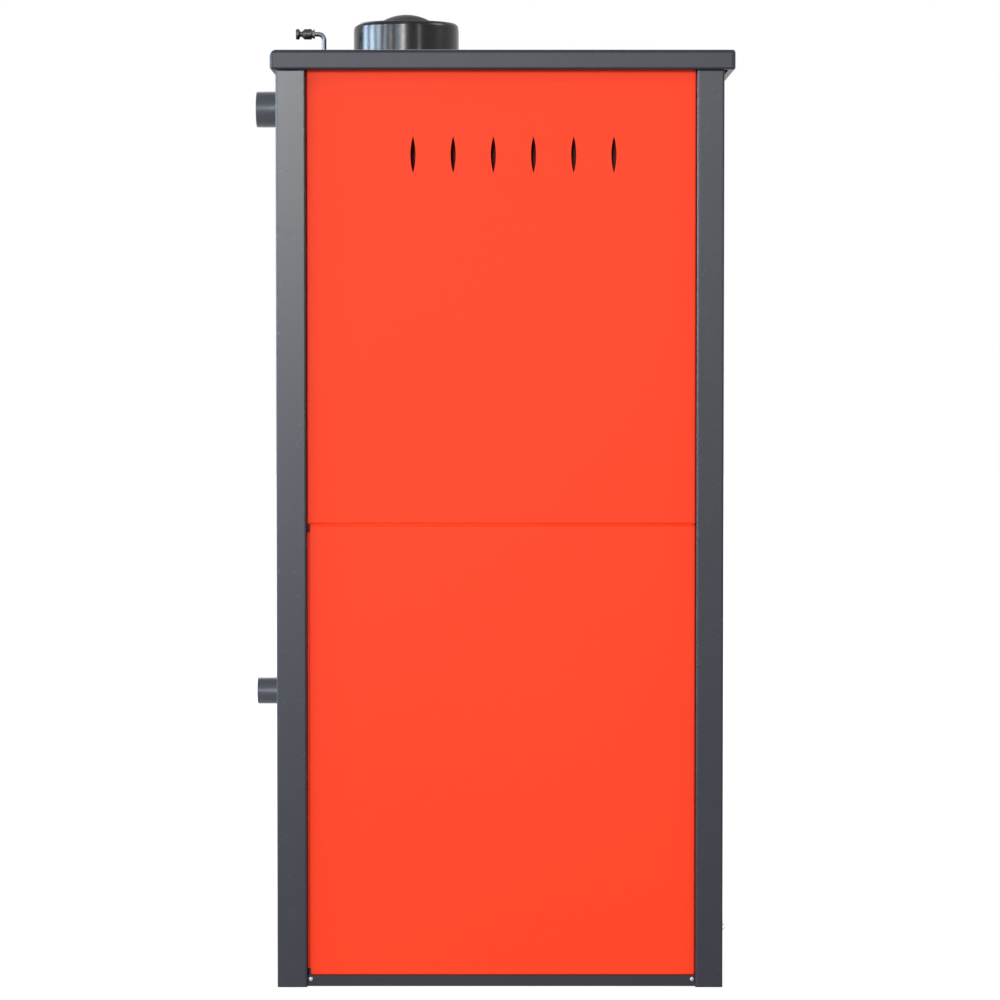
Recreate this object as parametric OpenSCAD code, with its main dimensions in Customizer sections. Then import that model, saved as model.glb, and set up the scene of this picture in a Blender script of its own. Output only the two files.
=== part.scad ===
// Upright wood cook stove: an oven over a firebox inside a water jacket, in a sheet-metal casing.
// The front faces -Y, +Z is up, and the origin is the centre of the base tray's underside.

/* [Casing] */
// Width over the corner posts
case_w = 560; // [530:5:600]
// Depth over the corner posts
case_d = 600; // [580:5:640]
// Floor to the top of the lid
case_h = 1258.5; // [1245:0.5:1300]
// Side leg of a rear post
rear_leg = 40.4; // [36:0.2:46]
// Side leg of a front post
front_leg = 36.8; // [33:0.2:42]
// Leg of a post across the front or the back
face_leg = 38; // [35:0.5:42]
// Sheet of the corner posts
post_sheet = 1.5; // [1.2:0.1:1.8]
// Inside radius of the bends in posts and rails
post_bend = 1.2; // [1:0.1:3]
// Depth of the panel faces behind the post faces
panel_recess = 9; // [8:0.5:11]
// Depth of a panel's folded edge
panel_fold = 9; // [8:0.5:11]
// Width of the ledge that a panel lies against
post_ledge = 12; // [9:0.5:14]
// Sheet of the panels
panel_sheet = 1; // [0.8:0.1:1.2]
// Inside radius of a panel's folded edge
panel_bend = 1.2; // [1:0.1:2.6]
// Height of the seam between the upper and the lower panels
seam_z = 624; // [560:0.1:680]
// Width of that seam
seam_gap = 2; // [1:0.1:3]
// Gap between a lower side panel and the rear post
rear_gap = 2.2; // [1:0.1:3]
// Width of the relief notch at the rear corners of a lower side panel
relief_w = 2.4; // [1.5:0.1:3]
// Height of that notch
relief_h = 9.4; // [6:0.2:12]

/* [Vent slots] */
// Number of slots in an upper side panel
slot_count = 6; // [3:1:7]
// Height of a slot
slot_h = 50; // [40:0.2:60]
// Width of a slot at its middle
slot_w = 7; // [4:0.2:9]
// Spacing of the slots
slot_pitch = 53.8; // [40:0.1:58]
// Middle of the row in front of the middle of the casing
slot_forward = 18; // [10:0.1:26]
// Top of the lid down to the middle of the slots
slot_drop = 138.8; // [110:0.1:170]

/* [Lid] */
// Height of the lid's skirt
lid_h = 26.6; // [22:0.1:32]
// Sheet of the lid
lid_sheet = 2; // [1.5:0.1:2.5]
// Overhang of the lid at each side
lid_side = 12; // [11:0.5:16]
// Overhang of the lid at the front
lid_front = 14; // [12:0.1:20]
// Overhang of the lid at the back
lid_rear = 7; // [6:0.1:14]
// Width of the hem folded under the skirt
lid_hem = 7; // [4:0.5:8]
// Outside radius of the lid's rear top edge
lid_rear_r = 10; // [8:0.5:12]
// Outside radius of the lid's other edges
lid_edge_r = 5; // [4:0.5:6]

/* [Base] */
// Height of the base tray
base_h = 15; // [12:0.2:20]
// Sheet of the base tray
base_sheet = 2; // [1.5:0.1:3]
// Width of the tray's in-turned lip
base_lip = 14; // [12:0.5:30]
// Radius of a plinth screw's domed head
dome_r = 3.4; // [2.6:0.1:3.6]
// Radius of a plinth screw's shank
screw_r = 1.9; // [1.5:0.1:2.1]

/* [Water jacket] */
// Post face to the jacket's side
jacket_side = 42; // [40:1:50]
// Post face to the jacket's back
jacket_rear = 38; // [36:1:46]
// Lid top to the jacket's top
jacket_top = 33; // [30:0.5:34]
// Outer plate of the jacket
outer_t = 4; // [3:0.5:5]
// Inner plate of the jacket
inner_t = 5; // [4:0.5:6]
// Water space between the plates
water = 36; // [30:1:40]
// Front plate of the jacket
plate_t = 6; // [5:0.5:8]
// Width of the skids under the jacket
skid_w = 30; // [20:1:40]
// Thickness of the mineral wool at the sides and the back
wool_t = 15; // [12:0.5:15]
// Top of the lid down to the top of the mineral wool at the sides and the back
wool_drop = 198.5; // [190:0.5:360]

/* [Flue and water fittings] */
// Outside radius of the flue collar, for a 150 mm pipe
flue_r = 74; // [68:0.5:76]
// Wall of the flue collar
flue_wall = 3; // [2:0.5:4]
// Post faces at the back to the flue's centre
flue_in = 168; // [164:1:175]
// Top of the collar above the lid
flue_rise = 49.1; // [40:0.1:60]
// Height of the cap's rounded rim
cap_rim = 9; // [8:0.5:12]
// Height of the dome over the cap's rim
dome_h = 13; // [8:0.5:15]
// Radius of the dome where it meets the cap
dome_foot = 40; // [30:0.5:50]
// Outside radius of the flow socket
flow_r = 25.75; // [24.5:0.05:27]
// Bore of the flow socket at the thread crests, G 1 1/4
flow_bore = 19.475; // [19:0.005:20]
// Top of the lid down to the flow socket's axis
flow_drop = 60.8; // [60:0.1:66]
// Outside radius of the return socket
return_r = 19; // [18.5:0.05:21]
// Bore of the return socket at the thread crests, G 1
return_bore = 15.145; // [14.5:0.005:15.6]
// Height of the return socket
return_z = 376; // [340:0.1:400]
// Reach of the sockets behind the rear posts
socket_reach = 43; // [30:0.5:50]
// Radius of the bleed tube
bleed_r = 3.3; // [2.5:0.1:3.5]
// Bend radius of the bleed tube
bleed_bend = 8; // [6:0.5:8]
// Post faces at the back to the bleed tube
bleed_in = 52.2; // [48:0.1:60]
// Height of the bleed valve above the lid
bleed_rise = 44.3; // [35:0.1:55]
// Radius of the bleed valve
valve_r = 7.5; // [6.5:0.1:9]
// Length of the bleed valve's body
valve_len = 15.3; // [12:0.1:20]
// Length of the bleed valve's knob
knob_len = 6.5; // [5:0.1:8]

/* [Front] */
// Door faces behind the post faces
door_recess = 12; // [11:0.5:14]
// Depth of a door
door_t = 24; // [23:0.5:27]
// Door's back to the front plate
seal_gap = 2; // [1.5:0.1:3]
// Gap between a door and the posts
door_side_gap = 2.5; // [2.4:0.1:4]
// Gap above and below a door
door_slit = 3; // [2.5:0.1:4]
// Underside of the lower rail
low_rail_z = 183; // [181:1:188]
// Height of the lower rail
low_rail_h = 26; // [22:1:28]
// Underside of the middle rail
mid_rail_z = 613; // [604:1:622]
// Top of the lid down to the underside of the upper rail
top_rail_drop = 211.5; // [200:0.5:214]
// Height of the middle and the upper rail
rail_h = 14; // [12:0.5:16]
// Width of the firebox opening
fire_w = 300; // [270:5:310]
// Bottom of the firebox opening
fire_sill = 245; // [238:1:255]
// Top of the firebox opening
fire_head = 535; // [500:1:538]
// Width of the oven opening
oven_open_w = 310; // [290:2:314]
// Lip of the oven opening below and above the oven's inside
oven_lip = 11; // [8:0.5:18]
// Width of the ash opening
ash_w = 370; // [360:2:376]
// Top of the ash opening
ash_head = 172; // [168:1:176]

/* [Firebox] */
// Thickness of a firebrick
brick_t = 30; // [25:1:34]
// Top of the firebricks
brick_top = 540; // [500:1:550]
// Underside of the hearth frame
hearth_z = 204; // [202:1:208]
// Thickness of the hearth frame
hearth_t = 20; // [18:1:24]
// Width of the riddling grate
grate_w = 236; // [200:4:240]
// Length of the riddling grate
grate_l = 218; // [190:2:224]
// Travel of the riddling grate
grate_travel = 20; // [12:1:22]
// Number of bars across the grate
slot_rows = 9; // [7:1:10]
// Height of the riddling rod
rod_z = 196; // [195:0.5:198]
// Radius of the riddling and damper rods
rod_r = 4; // [3.5:0.1:4.3]
// Thickness of the throat baffle
throat_t = 22; // [18:1:25]

/* [Oven] */
// Inside width of the oven
oven_w = 322; // [320:1:328]
// Inside floor of the oven
oven_floor = 657; // [650:1:658]
// Top of the lid down to the inside roof of the oven
oven_drop = 235.5; // [231:0.5:240]
// Smoke way between the oven and the back of the jacket
smoke_way = 61; // [50:1:75]
// Sheet of the oven
oven_sheet = 2; // [1.5:0.1:2.5]
// Oven floor to the lowest runner
runner_rise = 68; // [50:1:80]
// Oven roof down to where a fourth runner would be
runner_clear = 58; // [50:1:80]
// Top of the lid down to the underside of the smoke shelf
shelf_drop = 208.5; // [203:0.5:212]
// Top of the lid down to the gauges and the damper rod
control_drop = 123.5; // [110:0.5:140]

/* [Hidden] */
$fn = 64;

// Clearances
gap = 0.3;       // between loose pieces
run = 0.05;      // radial, between a shaft and its bore
cut = 1;         // overshoot of a cutting body

// Casing planes
half_w = case_w / 2;
half_d = case_d / 2;
lid_under = case_h - lid_sheet;
skirt_z = case_h - lid_h;
slot_z = case_h - slot_drop;
ledge_in = panel_recess + panel_fold + post_bend;
panel_x = half_w - panel_recess;
panel_top = lid_under - 9;
panel_foot = base_h + gap;
pocket_w = case_w - 2 * face_leg;         // between the face legs of two posts
tuck = 12;                                // upper edge of the casing hidden by the lid

// Front planes
control_z = case_h - control_drop;
top_rail_z = case_h - top_rail_drop;
door_y = -half_d + door_recess;
door_back = door_y + door_t;
plate_y = door_back + seal_gap;
rail_y = door_y - 2;
door_w = pocket_w - 2 * door_side_gap;
fire_door_z = low_rail_z + low_rail_h + door_slit;
fire_door_top = mid_rail_z - door_slit;
oven_door_z = mid_rail_z + rail_h + door_slit;
oven_door_top = top_rail_z - door_slit;
drawer_z = base_h + door_slit;
drawer_top = low_rail_z - door_slit;
fascia_z = top_rail_z + rail_h + door_slit;
hinge_x = -pocket_w / 2 + 9.5;
hinge_y = door_y + 6;
hinge_r = 4;

// Jacket planes
outer_x = half_w - jacket_side;
outer_y = half_d - jacket_rear;
outer_top = case_h - jacket_top;
inner_x = outer_x - outer_t - water;
inner_y = outer_y - outer_t - water;
inner_top = outer_top - outer_t - water;
room_x = inner_x - inner_t;
room_y = inner_y - inner_t;
room_top = inner_top - inner_t;
room_floor = base_h + outer_t + inner_t;
jacket_y = plate_y + plate_t;
flow_z = case_h - flow_drop;
wool_top = case_h - wool_drop;
flue_back = half_d - flue_in;
bleed_back = half_d - bleed_in;
stub_r = flue_r - 0.6;                    // flue stub through the jacket
collar_step = 0.6;                        // where the collar steps out over the lid
weld = 0.1;                               // root gap between welded plates
plate_half = half_w - face_leg + 8;
plate_top = outer_top + 4;

// Fire
hearth_top = hearth_z + hearth_t;
grate_t = 13;
grate_z = hearth_z + 6 + gap;
grate_back = room_y - 87;
baffle_front = jacket_y + 196;            // smoke rises in front of the baffle
grate_front = grate_back - grate_l;
grate_lug = 8;

// Oven
oven_half = oven_w / 2;
oven_roof = case_h - oven_drop;
oven_back = room_y - smoke_way;
oven_sill = oven_floor + oven_lip;
oven_head = oven_roof - oven_lip;
shelf_z = case_h - shelf_drop;
shelf_front = jacket_y + 106;             // smoke also rises in front of the shelf
runner_r = 3;
post_wire = 2.5;
runner_x = oven_half - 7.5;
runners = 3;
runner_z = oven_floor + runner_rise;
runner_pitch = (oven_roof - runner_clear - runner_z) / runners;
tray_level = runner_z;
rack_level = runner_z + runner_pitch;

// Doors
frame_lip = 8;
glass_t = 4;
rope_r = 5;
rope_margin = 20;
seal_corner = 18;
latch_x = 205;
latch_len = 23;
latch_rest = 60;
fire_latch_z = (fire_door_z + fire_door_top) / 2;
oven_latch_z = (oven_door_z + oven_door_top) / 2;
fire_window = [280, fire_sill + 17, fire_head - 45];
oven_window = [280, oven_sill + 22, oven_head - 22];

// Drawer
rosette_z = 128;
rosette_r = 36;
petals = 6;
pan_top = 95;
pan_half = 180;
handle_z = 50;

// Colours
orange_red = [0.95, 0.27, 0.16];
anthracite = [0.30, 0.31, 0.34];
dark_steel = [0.20, 0.20, 0.22];
cast_grey = [0.16, 0.16, 0.17];
bright = [0.75, 0.76, 0.78];

// Paths and sheet metal

function unit(a, b) = (b - a) / norm(b - a);
function left(v) = [-v[1], v[0]];
function turn(p, i) =
    let (a = unit(p[i - 1], p[i]), b = unit(p[i], p[i + 1]))
    sign(a[0] * b[1] - a[1] * b[0]);
function setback(p, i, t, r) = turn(p, i) > 0 ? r + t : r;

// Section of a folded sheet: the path is its right-hand face and the sheet lies to the left
module folded_sheet(path, t, r) {
    last = len(path) - 1;
    for (i = [0 : last - 1]) {
        d = unit(path[i], path[i + 1]);
        from = path[i] + d * (i == 0 ? 0 : setback(path, i, t, r));
        to = path[i + 1] - d * (i == last - 1 ? 0 : setback(path, i + 1, t, r));
        polygon([from, to, to + left(d) * t, from + left(d) * t]);
    }
    for (i = [1 : last - 1]) {
        s = turn(path, i);
        d = unit(path[i - 1], path[i]);
        e = unit(path[i], path[i + 1]);
        c = path[i] - d * setback(path, i, t, r) + left(d) * s * setback(path, i, t, r);
        u = -left(d) * s * (r + t) * 2;
        v = -left(e) * s * (r + t) * 2;
        intersection() {
            translate(c) difference() {
                circle(r + t);
                circle(r);
            }
            polygon([c, c + u, c + u + v, c + v]);
        }
    }
}

// Extrudes a (Y, Z) outline from x0 to x1
module flank(x0, x1) {
    translate([x0, 0, 0]) rotate([90, 0, 90]) linear_extrude(x1 - x0) children();
}

// Extrudes an (X, Z) outline from y0 to y1
module wall(y0, y1) {
    translate([0, y1, 0]) rotate([90, 0, 0]) linear_extrude(y1 - y0) children();
}

// Extrudes an (X, Y) outline from z0 to z1
module deck(z0, z1) {
    translate([0, 0, z0]) linear_extrude(z1 - z0) children();
}

// Box between two corners
module span(a, b) {
    translate(a) cube(b - a);
}

// What lies outside a rounded corner at the origin
module corner_waste(r) {
    difference() {
        translate([-cut, -cut]) square(r + cut);
        translate([r, r]) circle(r);
    }
}

// Rectangle with its own radius at each corner, from low left round to high left
module soft_rect(w, h, r) {
    difference() {
        square([w, h]);
        if (r[0] > 0) corner_waste(r[0]);
        if (r[1] > 0) translate([w, 0]) mirror([1, 0]) corner_waste(r[1]);
        if (r[2] > 0) translate([w, h]) rotate(180) corner_waste(r[2]);
        if (r[3] > 0) translate([0, h]) mirror([0, 1]) corner_waste(r[3]);
    }
}

// The same, centred on x and from y0 up to y1
module soft_window(w, y0, y1, r) {
    translate([-w / 2, y0]) soft_rect(w, y1 - y0, [r, r, r, r]);
}

// Block with its face edges rounded: the face lies at z = 0 and the back is square
module pillow(w, h, depth, r) {
    intersection() {
        flank(0, w) soft_rect(h, depth, [r, r, 0, 0]);
        wall(0, h) soft_rect(w, depth, [r, r, 0, 0]);
    }
}

// Folded tray, open at the back: face at z = 0, edges folded to z = depth
module tray(w, h, depth, t, r) {
    difference() {
        pillow(w, h, depth, r + t);
        translate([t, t, t]) pillow(w - 2 * t, h - 2 * t, depth, r);
    }
}

// Turned solid on an axis along Y: the outline's y runs out towards -Y
module turned(x, y, z) {
    translate([x, y, z]) rotate([90, 0, 0]) rotate_extrude() children();
}

// Drill along Y
module drill(x, z, r, y0, y1) {
    translate([x, y1, z]) rotate([90, 0, 0]) cylinder(r = r, h = y1 - y0);
}

// Lens: two equal circles crossing at its tips
module lens(w, h) {
    r = (h * h + w * w) / (4 * w);
    intersection() {
        translate([r - w / 2, 0]) circle(r);
        translate([w / 2 - r, 0]) circle(r);
    }
}

module both_sides() {
    children();
    mirror([1, 0, 0]) children();
}

// Base

module base_tray() color(dark_steel) {
    w = case_w - 2 * panel_recess;
    d = case_d - 2 * panel_recess;
    difference() {
        deck(0, base_h) translate([-w / 2, -d / 2]) soft_rect(w, d, [3, 3, 3, 3]);
        span([base_sheet - w / 2, base_sheet - d / 2, base_sheet],
            [w / 2 - base_sheet, d / 2 - base_sheet, base_h - base_sheet]);
        span([base_lip - w / 2, base_lip - d / 2, base_sheet],
            [w / 2 - base_lip, d / 2 - base_lip, base_h + cut]);
        both_sides() for (y = plinth_screw_y)
            translate([panel_x - 2 * base_sheet, y, plinth_screw_z])
                rotate([0, 90, 0]) cylinder(r = screw_r + run, h = 3 * base_sheet);
    }
}

plinth_screw_z = base_h - base_sheet - dome_r + 0.3;
plinth_screw_y = [-half_d + front_leg + dome_r + gap, half_d - rear_leg - dome_r - gap];

module plinth_screws() color(bright) {
    both_sides() for (y = plinth_screw_y)
        translate([panel_x, y, plinth_screw_z]) rotate([0, 90, 0]) dome_screw();
}

// Screw along +Z: shank below the seat at z = 0, domed head above
module dome_screw() {
    head = 2.2;
    ball = (dome_r * dome_r + head * head) / (2 * head);
    rotate_extrude() intersection() {
        translate([0, head - ball]) circle(ball);
        square([dome_r, head]);
    }
    translate([0, 0, -8]) cylinder(r = screw_r, h = 8);
}

// Corner posts

// Post in its own corner: the outside corner at the origin, x across the face, y along the side
module post(side_leg, face_end) {
    side_path = [[ledge_in, side_leg + post_ledge], [ledge_in, side_leg], [0, side_leg],
        [0, 0], [face_leg, 0]];
    notch = panel_recess - gap;
    difference() {
        linear_extrude(lid_under - gap) folded_sheet(concat(side_path, face_end), post_sheet, post_bend);
        span([notch, notch, -cut], [face_leg + 2 * post_ledge, side_leg + 2 * post_ledge, base_h]);
    }
}

module front_post() {
    translate([-half_w, -half_d, 0]) post(front_leg, [[face_leg, plate_y + half_d]]);
}

module rear_post() {
    translate([-half_w, half_d, 0]) mirror([0, 1, 0])
        post(rear_leg, [[face_leg, ledge_in], [face_leg + post_ledge, ledge_in]]);
}

module post_front_left() color(anthracite) front_post();
module post_front_right() color(anthracite) mirror([1, 0, 0]) front_post();
module post_rear_left() color(anthracite) rear_post();
module post_rear_right() color(anthracite) mirror([1, 0, 0]) rear_post();

// Panels

// Side panel between two depths, its face at the left of the casing
module side_tray(y0, y1, z0, z1) {
    translate([-panel_x, y0, z0]) rotate([90, 0, 90])
        tray(y1 - y0, z1 - z0, panel_fold, panel_sheet, panel_bend);
}

panel_front = -half_d + front_leg + gap;
panel_rear = half_d - rear_leg - gap;

module upper_side() {
    difference() {
        side_tray(panel_front, panel_rear, seam_z + seam_gap / 2, panel_top);
        flank(-panel_x - cut, -panel_x + 2 * panel_sheet)
            for (i = [0 : slot_count - 1])
                translate([(i - (slot_count - 1) / 2) * slot_pitch - slot_forward, slot_z])
                    lens(slot_w, slot_h);
    }
}

module lower_side() {
    top = seam_z - seam_gap / 2;
    rear = half_d - rear_leg - rear_gap;
    difference() {
        side_tray(panel_front, rear, panel_foot, top);
        for (z = [panel_foot - cut, top - relief_h])
            span([-panel_x - cut, rear - relief_w, z],
                [panel_fold - panel_x + cut, rear + cut, z + relief_h + cut]);
    }
}

module side_panel_upper_left() color(orange_red) upper_side();
module side_panel_upper_right() color(orange_red) mirror([1, 0, 0]) upper_side();
module side_panel_lower_left() color(orange_red) lower_side();
module side_panel_lower_right() color(orange_red) mirror([1, 0, 0]) lower_side();

module rear_tray(z0, z1, hole_z, hole_r) {
    w = pocket_w - 2 * gap;
    difference() {
        translate([-w / 2, half_d - panel_recess, z0]) rotate([90, 0, 0])
            tray(w, z1 - z0, panel_fold, panel_sheet, panel_bend);
        drill(0, hole_z, hole_r, half_d - ledge_in - cut, half_d + cut);
    }
}

module rear_panel_upper() color(anthracite)
    rear_tray(seam_z + seam_gap / 2, panel_top, flow_z, flow_r + 2);

module rear_panel_lower() color(anthracite)
    rear_tray(panel_foot, seam_z - seam_gap / 2, return_z, return_r + 2);

// Lid

lid_w = case_w + 2 * lid_side;
lid_d = case_d + lid_front + lid_rear;

// Rounded block of the lid, drawn in by t all round
module lid_block(t) {
    low = 3 - t / 2;
    translate([-lid_w / 2 + t, -half_d - lid_front + t, skirt_z + t]) intersection() {
        flank(0, lid_w - 2 * t)
            soft_rect(lid_d - 2 * t, lid_h - 2 * t, [low, low, lid_rear_r - t, lid_edge_r - t]);
        wall(0, lid_d - 2 * t)
            soft_rect(lid_w - 2 * t, lid_h - 2 * t, [low, low, lid_edge_r - t, lid_edge_r - t]);
        deck(0, lid_h) soft_rect(lid_w - 2 * t, lid_d - 2 * t, [for (i = [0 : 3]) lid_edge_r - t]);
    }
}

module lid() color(anthracite) difference() {
    lid_block(0);
    lid_block(lid_sheet);
    inset = lid_sheet + lid_hem;
    span([inset - lid_w / 2, inset - half_d - lid_front, skirt_z - cut],
        [lid_w / 2 - inset, half_d + lid_rear - min(inset, lid_rear - gap), skirt_z + 2 * lid_sheet]);
    translate([0, flue_back, lid_under - cut]) cylinder(r = flue_r + 2, h = lid_h);
    translate([0, bleed_back, lid_under - cut]) cylinder(r = bleed_r + 1, h = lid_h);
}

// Front

module front_fascia() color(orange_red) {
    w = pocket_w - 2 * gap;
    difference() {
        translate([-w / 2, door_y, fascia_z]) mirror([0, 1, 0]) rotate([90, 0, 0])
            tray(w, lid_under - tuck - fascia_z, plate_y - door_y, panel_sheet, panel_bend);
        for (x = gauge_x) drill(x, control_z, gauge_r + gap, door_y - cut, plate_y);
        drill(damper_x, control_z, rod_r + 0.5, door_y - cut, plate_y);
    }
}

module rail(z0, h) {
    w = pocket_w / 2 - gap;
    difference() {
        flank(-w, w) folded_sheet([[plate_y, z0 + h], [rail_y, z0 + h], [rail_y, z0], [plate_y, z0]],
            post_sheet, post_bend);
        translate([hinge_x, hinge_y, z0 - cut]) cylinder(r = hinge_r + run, h = h + 2 * cut);
    }
}

module front_rails() color(anthracite) {
    difference() {
        rail(low_rail_z, low_rail_h);
        drill(0, rod_z, rod_r + 0.5, rail_y - cut, plate_y);
    }
    rail(mid_rail_z, rail_h);
    rail(top_rail_z, rail_h);
}

// Hinge pin standing up from z = 0, the face of its rail, into a door that starts at door_slit
module hinge_pin() {
    rotate_extrude() {
        translate([0, -4]) square([hinge_r, door_slit + 16]);
        square([hinge_r + 3, door_slit - gap]);
    }
}

module hinge_pins() color(bright) translate([hinge_x, hinge_y, 0]) {
    translate([0, 0, low_rail_z + low_rail_h]) hinge_pin();
    translate([0, 0, mid_rail_z]) mirror([0, 0, 1]) hinge_pin();
    translate([0, 0, mid_rail_z + rail_h]) hinge_pin();
    translate([0, 0, top_rail_z]) mirror([0, 0, 1]) hinge_pin();
}

// Jacket

// Open-fronted shell of five plates, butted with a root gap: sides, back, floor and top
module shell_plates(x, y, z0, z1, t) {
    both_sides() span([x - t, jacket_y, z0], [x, y, z1]);
    span([t + weld - x, y - t, z0], [x - t - weld, y, z1]);
    for (z = [z0, z1 - t]) span([t + weld - x, jacket_y, z], [x - t - weld, y - t - weld, z + t]);
}

module insulation() color("lightgoldenrodyellow") {
    start = jacket_y + 18;
    difference() {
        span([-outer_x - wool_t - gap, start, base_h + 20],
            [outer_x + wool_t + gap, outer_y + wool_t + gap, wool_top]);
        span([-outer_x - gap, start - cut, 0], [outer_x + gap, outer_y + gap, wool_top + cut]);
        drill(0, return_z, return_r + 1, outer_y - cut, half_d);
    }
    difference() {
        span([-outer_x + 5, jacket_y + 5, outer_top], [outer_x - 5, outer_y - 2, lid_under - 4]);
        translate([0, flue_back, 0]) cylinder(r = flue_r + 1, h = case_h);
        translate([0, bleed_back, 0]) cylinder(r = bleed_r + 1, h = case_h);
    }
}

module jacket_outer() color(dark_steel) {
    difference() {
        shell_plates(outer_x, outer_y, base_h, outer_top, outer_t);
        drill(0, flow_z, flow_r + weld, outer_y - 2 * outer_t, outer_y + cut);
        drill(0, return_z, return_r + weld, outer_y - 2 * outer_t, outer_y + cut);
        translate([0, flue_back, inner_top]) cylinder(r = stub_r + weld, h = case_h - inner_top);
        translate([0, bleed_back, inner_top]) cylinder(r = bleed_r + weld, h = case_h - inner_top);
    }
    both_sides()
        span([inner_x - skid_w, jacket_y + 20, base_sheet], [inner_x, outer_y - 20, base_h - weld]);
}

module jacket_inner() color(dark_steel) {
    rest = 10;
    difference() {
        shell_plates(inner_x, inner_y, base_h + outer_t, inner_top, inner_t);
        translate([0, flue_back, room_top - cut]) cylinder(r = stub_r + weld, h = 3 * inner_t);
    }
    both_sides() {
        span([room_x - rest, jacket_y + 56, hearth_z - rest], [room_x - weld, room_y - 17, hearth_z]);
        span([room_x - rest, shelf_front, shelf_z - rest / 2], [room_x - weld, room_y - 17, shelf_z]);
    }
}

module front_plate() color(cast_grey) difference() {
    wall(plate_y, jacket_y) difference() {
        translate([-plate_half, base_h]) square([2 * plate_half, plate_top - base_h]);
        soft_window(ash_w, room_floor, ash_head, 6);
        soft_window(fire_w, fire_sill, fire_head, 10);
        soft_window(oven_open_w, oven_sill, oven_head, 10);
    }
    drill(0, rod_z, rod_r + run, plate_y - cut, jacket_y + cut);
    drill(damper_x, control_z, rod_r + run, plate_y - cut, jacket_y + cut);
}

module latch_keepers() color(dark_steel) for (z = [fire_latch_z, oven_latch_z]) {
    web = latch_x + latch_len + 1.5;
    reach = 11;
    deck(z - 10, z + 10)
        folded_sheet([[web, plate_y], [web, plate_y - reach], [web - 10.5, plate_y - reach]], 2, 0.5);
}

// Flue and water fittings

// Stub through the jacket, stepping out to the collar just over the lid
module flue_collar() color(dark_steel) translate([0, flue_back, room_top]) difference() {
    step = case_h + collar_step - room_top;
    union() {
        cylinder(r = stub_r, h = step);
        translate([0, 0, step]) cylinder(r = flue_r, h = flue_rise - collar_step);
    }
    translate([0, 0, -cut]) cylinder(r = flue_r - flue_wall, h = case_h + flue_rise - room_top + 2 * cut);
}

// Pressed cap: a rounded rim flush with the collar, a plug inside it and a shallow dome
module flue_cap() color(dark_steel) translate([0, flue_back, case_h + flue_rise + gap]) rotate_extrude() {
    t = 2;
    plug = 14;
    ball = (dome_foot * dome_foot + dome_h * dome_h) / (2 * dome_h);
    plug_r = flue_r - flue_wall - gap;
    cap_r = flue_r - collar_step;
    rim_r = 6;
    difference() {
        union() {
            square([cap_r - rim_r, cap_rim]);
            square([cap_r, cap_rim - rim_r]);
            translate([cap_r - rim_r, cap_rim - rim_r]) circle(rim_r);
        }
        translate([-cut, -cut]) square([plug_r - t + cut, cap_rim - t + cut]);
        translate([0, -rim_r]) square([flue_r, rim_r]);
        translate([-cut, 0]) square([cut, case_h]);
        square([dome_foot - t, cap_rim + cut]);
    }
    translate([plug_r - t, -plug]) square([t, plug + cap_rim - t]);
    intersection() {
        translate([0, cap_rim + dome_h - ball]) difference() {
            circle(ball);
            circle(ball - t);
        }
        translate([0, cap_rim - t]) square([dome_foot, dome_h + t]);
    }
}

// Weld socket with a rounded mouth, on an axis along Y
module socket(z, r, bore) color(dark_steel) {
    lip = 1.5;
    depth = half_d + socket_reach - (outer_y - outer_t);
    translate([0, outer_y - outer_t, z]) rotate([-90, 0, 0]) rotate_extrude() difference() {
        soft_rect(r, depth, [0, 0, lip, 0]);
        translate([-cut, -cut]) square([bore + cut, depth + 2 * cut]);
    }
}

module flow_socket() socket(flow_z, flow_r, flow_bore);
module return_socket() socket(return_z, return_r, return_bore);

bleed_z = case_h + bleed_rise;
valve_y = bleed_back + bleed_bend + 7.5;

module bleed_tube() color(bright) translate([0, bleed_back, 0]) {
    translate([0, 0, outer_top - outer_t]) difference() {
        cylinder(r = bleed_r, h = bleed_z - bleed_bend - outer_top + outer_t);
        translate([0, 0, -cut])
            cylinder(r = bleed_r / 2, h = bleed_z - bleed_bend - outer_top + outer_t + 2 * cut);
    }
    translate([0, bleed_bend, bleed_z - bleed_bend]) rotate([0, -90, 0]) rotate_extrude(angle = -90)
        translate([bleed_bend, 0]) difference() {
            circle(bleed_r);
            circle(bleed_r / 2);
        }
    translate([0, bleed_bend, bleed_z]) rotate([-90, 0, 0]) difference() {
        cylinder(r = bleed_r, h = valve_y - bleed_back - bleed_bend + 3);
        translate([0, 0, -cut]) cylinder(r = bleed_r / 2, h = valve_y - bleed_back);
    }
}

module bleed_body() color(dark_steel)
    translate([0, valve_y, bleed_z]) rotate([-90, 0, 0]) rotate_extrude() {
    bore = bleed_r + 1;
    difference() {
        soft_rect(valve_r, valve_len, [0, 1, 1.5, 0]);
        translate([-cut, -cut]) square([bleed_r + run + cut, 3 + cut]);
        translate([-cut, valve_len - 8]) square([bore + run + cut, 8 + cut]);
    }
}

module bleed_knob() color(dark_steel) {
    start = valve_y + valve_len;
    translate([0, start, bleed_z]) rotate([-90, 0, 0]) rotate_extrude() {
        translate([0, -6]) square([bleed_r + 1, 8]);
        translate([0, gap]) square([valve_r - 2.2, 2.2]);
        translate([0, 2.2]) soft_rect(valve_r, knob_len, [0, 1, 1, 0]);
    }
}

// Fire

module brick(w, d, h) {
    linear_extrude(h) soft_rect(w, d, [1.5, 1.5, 1.5, 1.5]);
}

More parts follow.
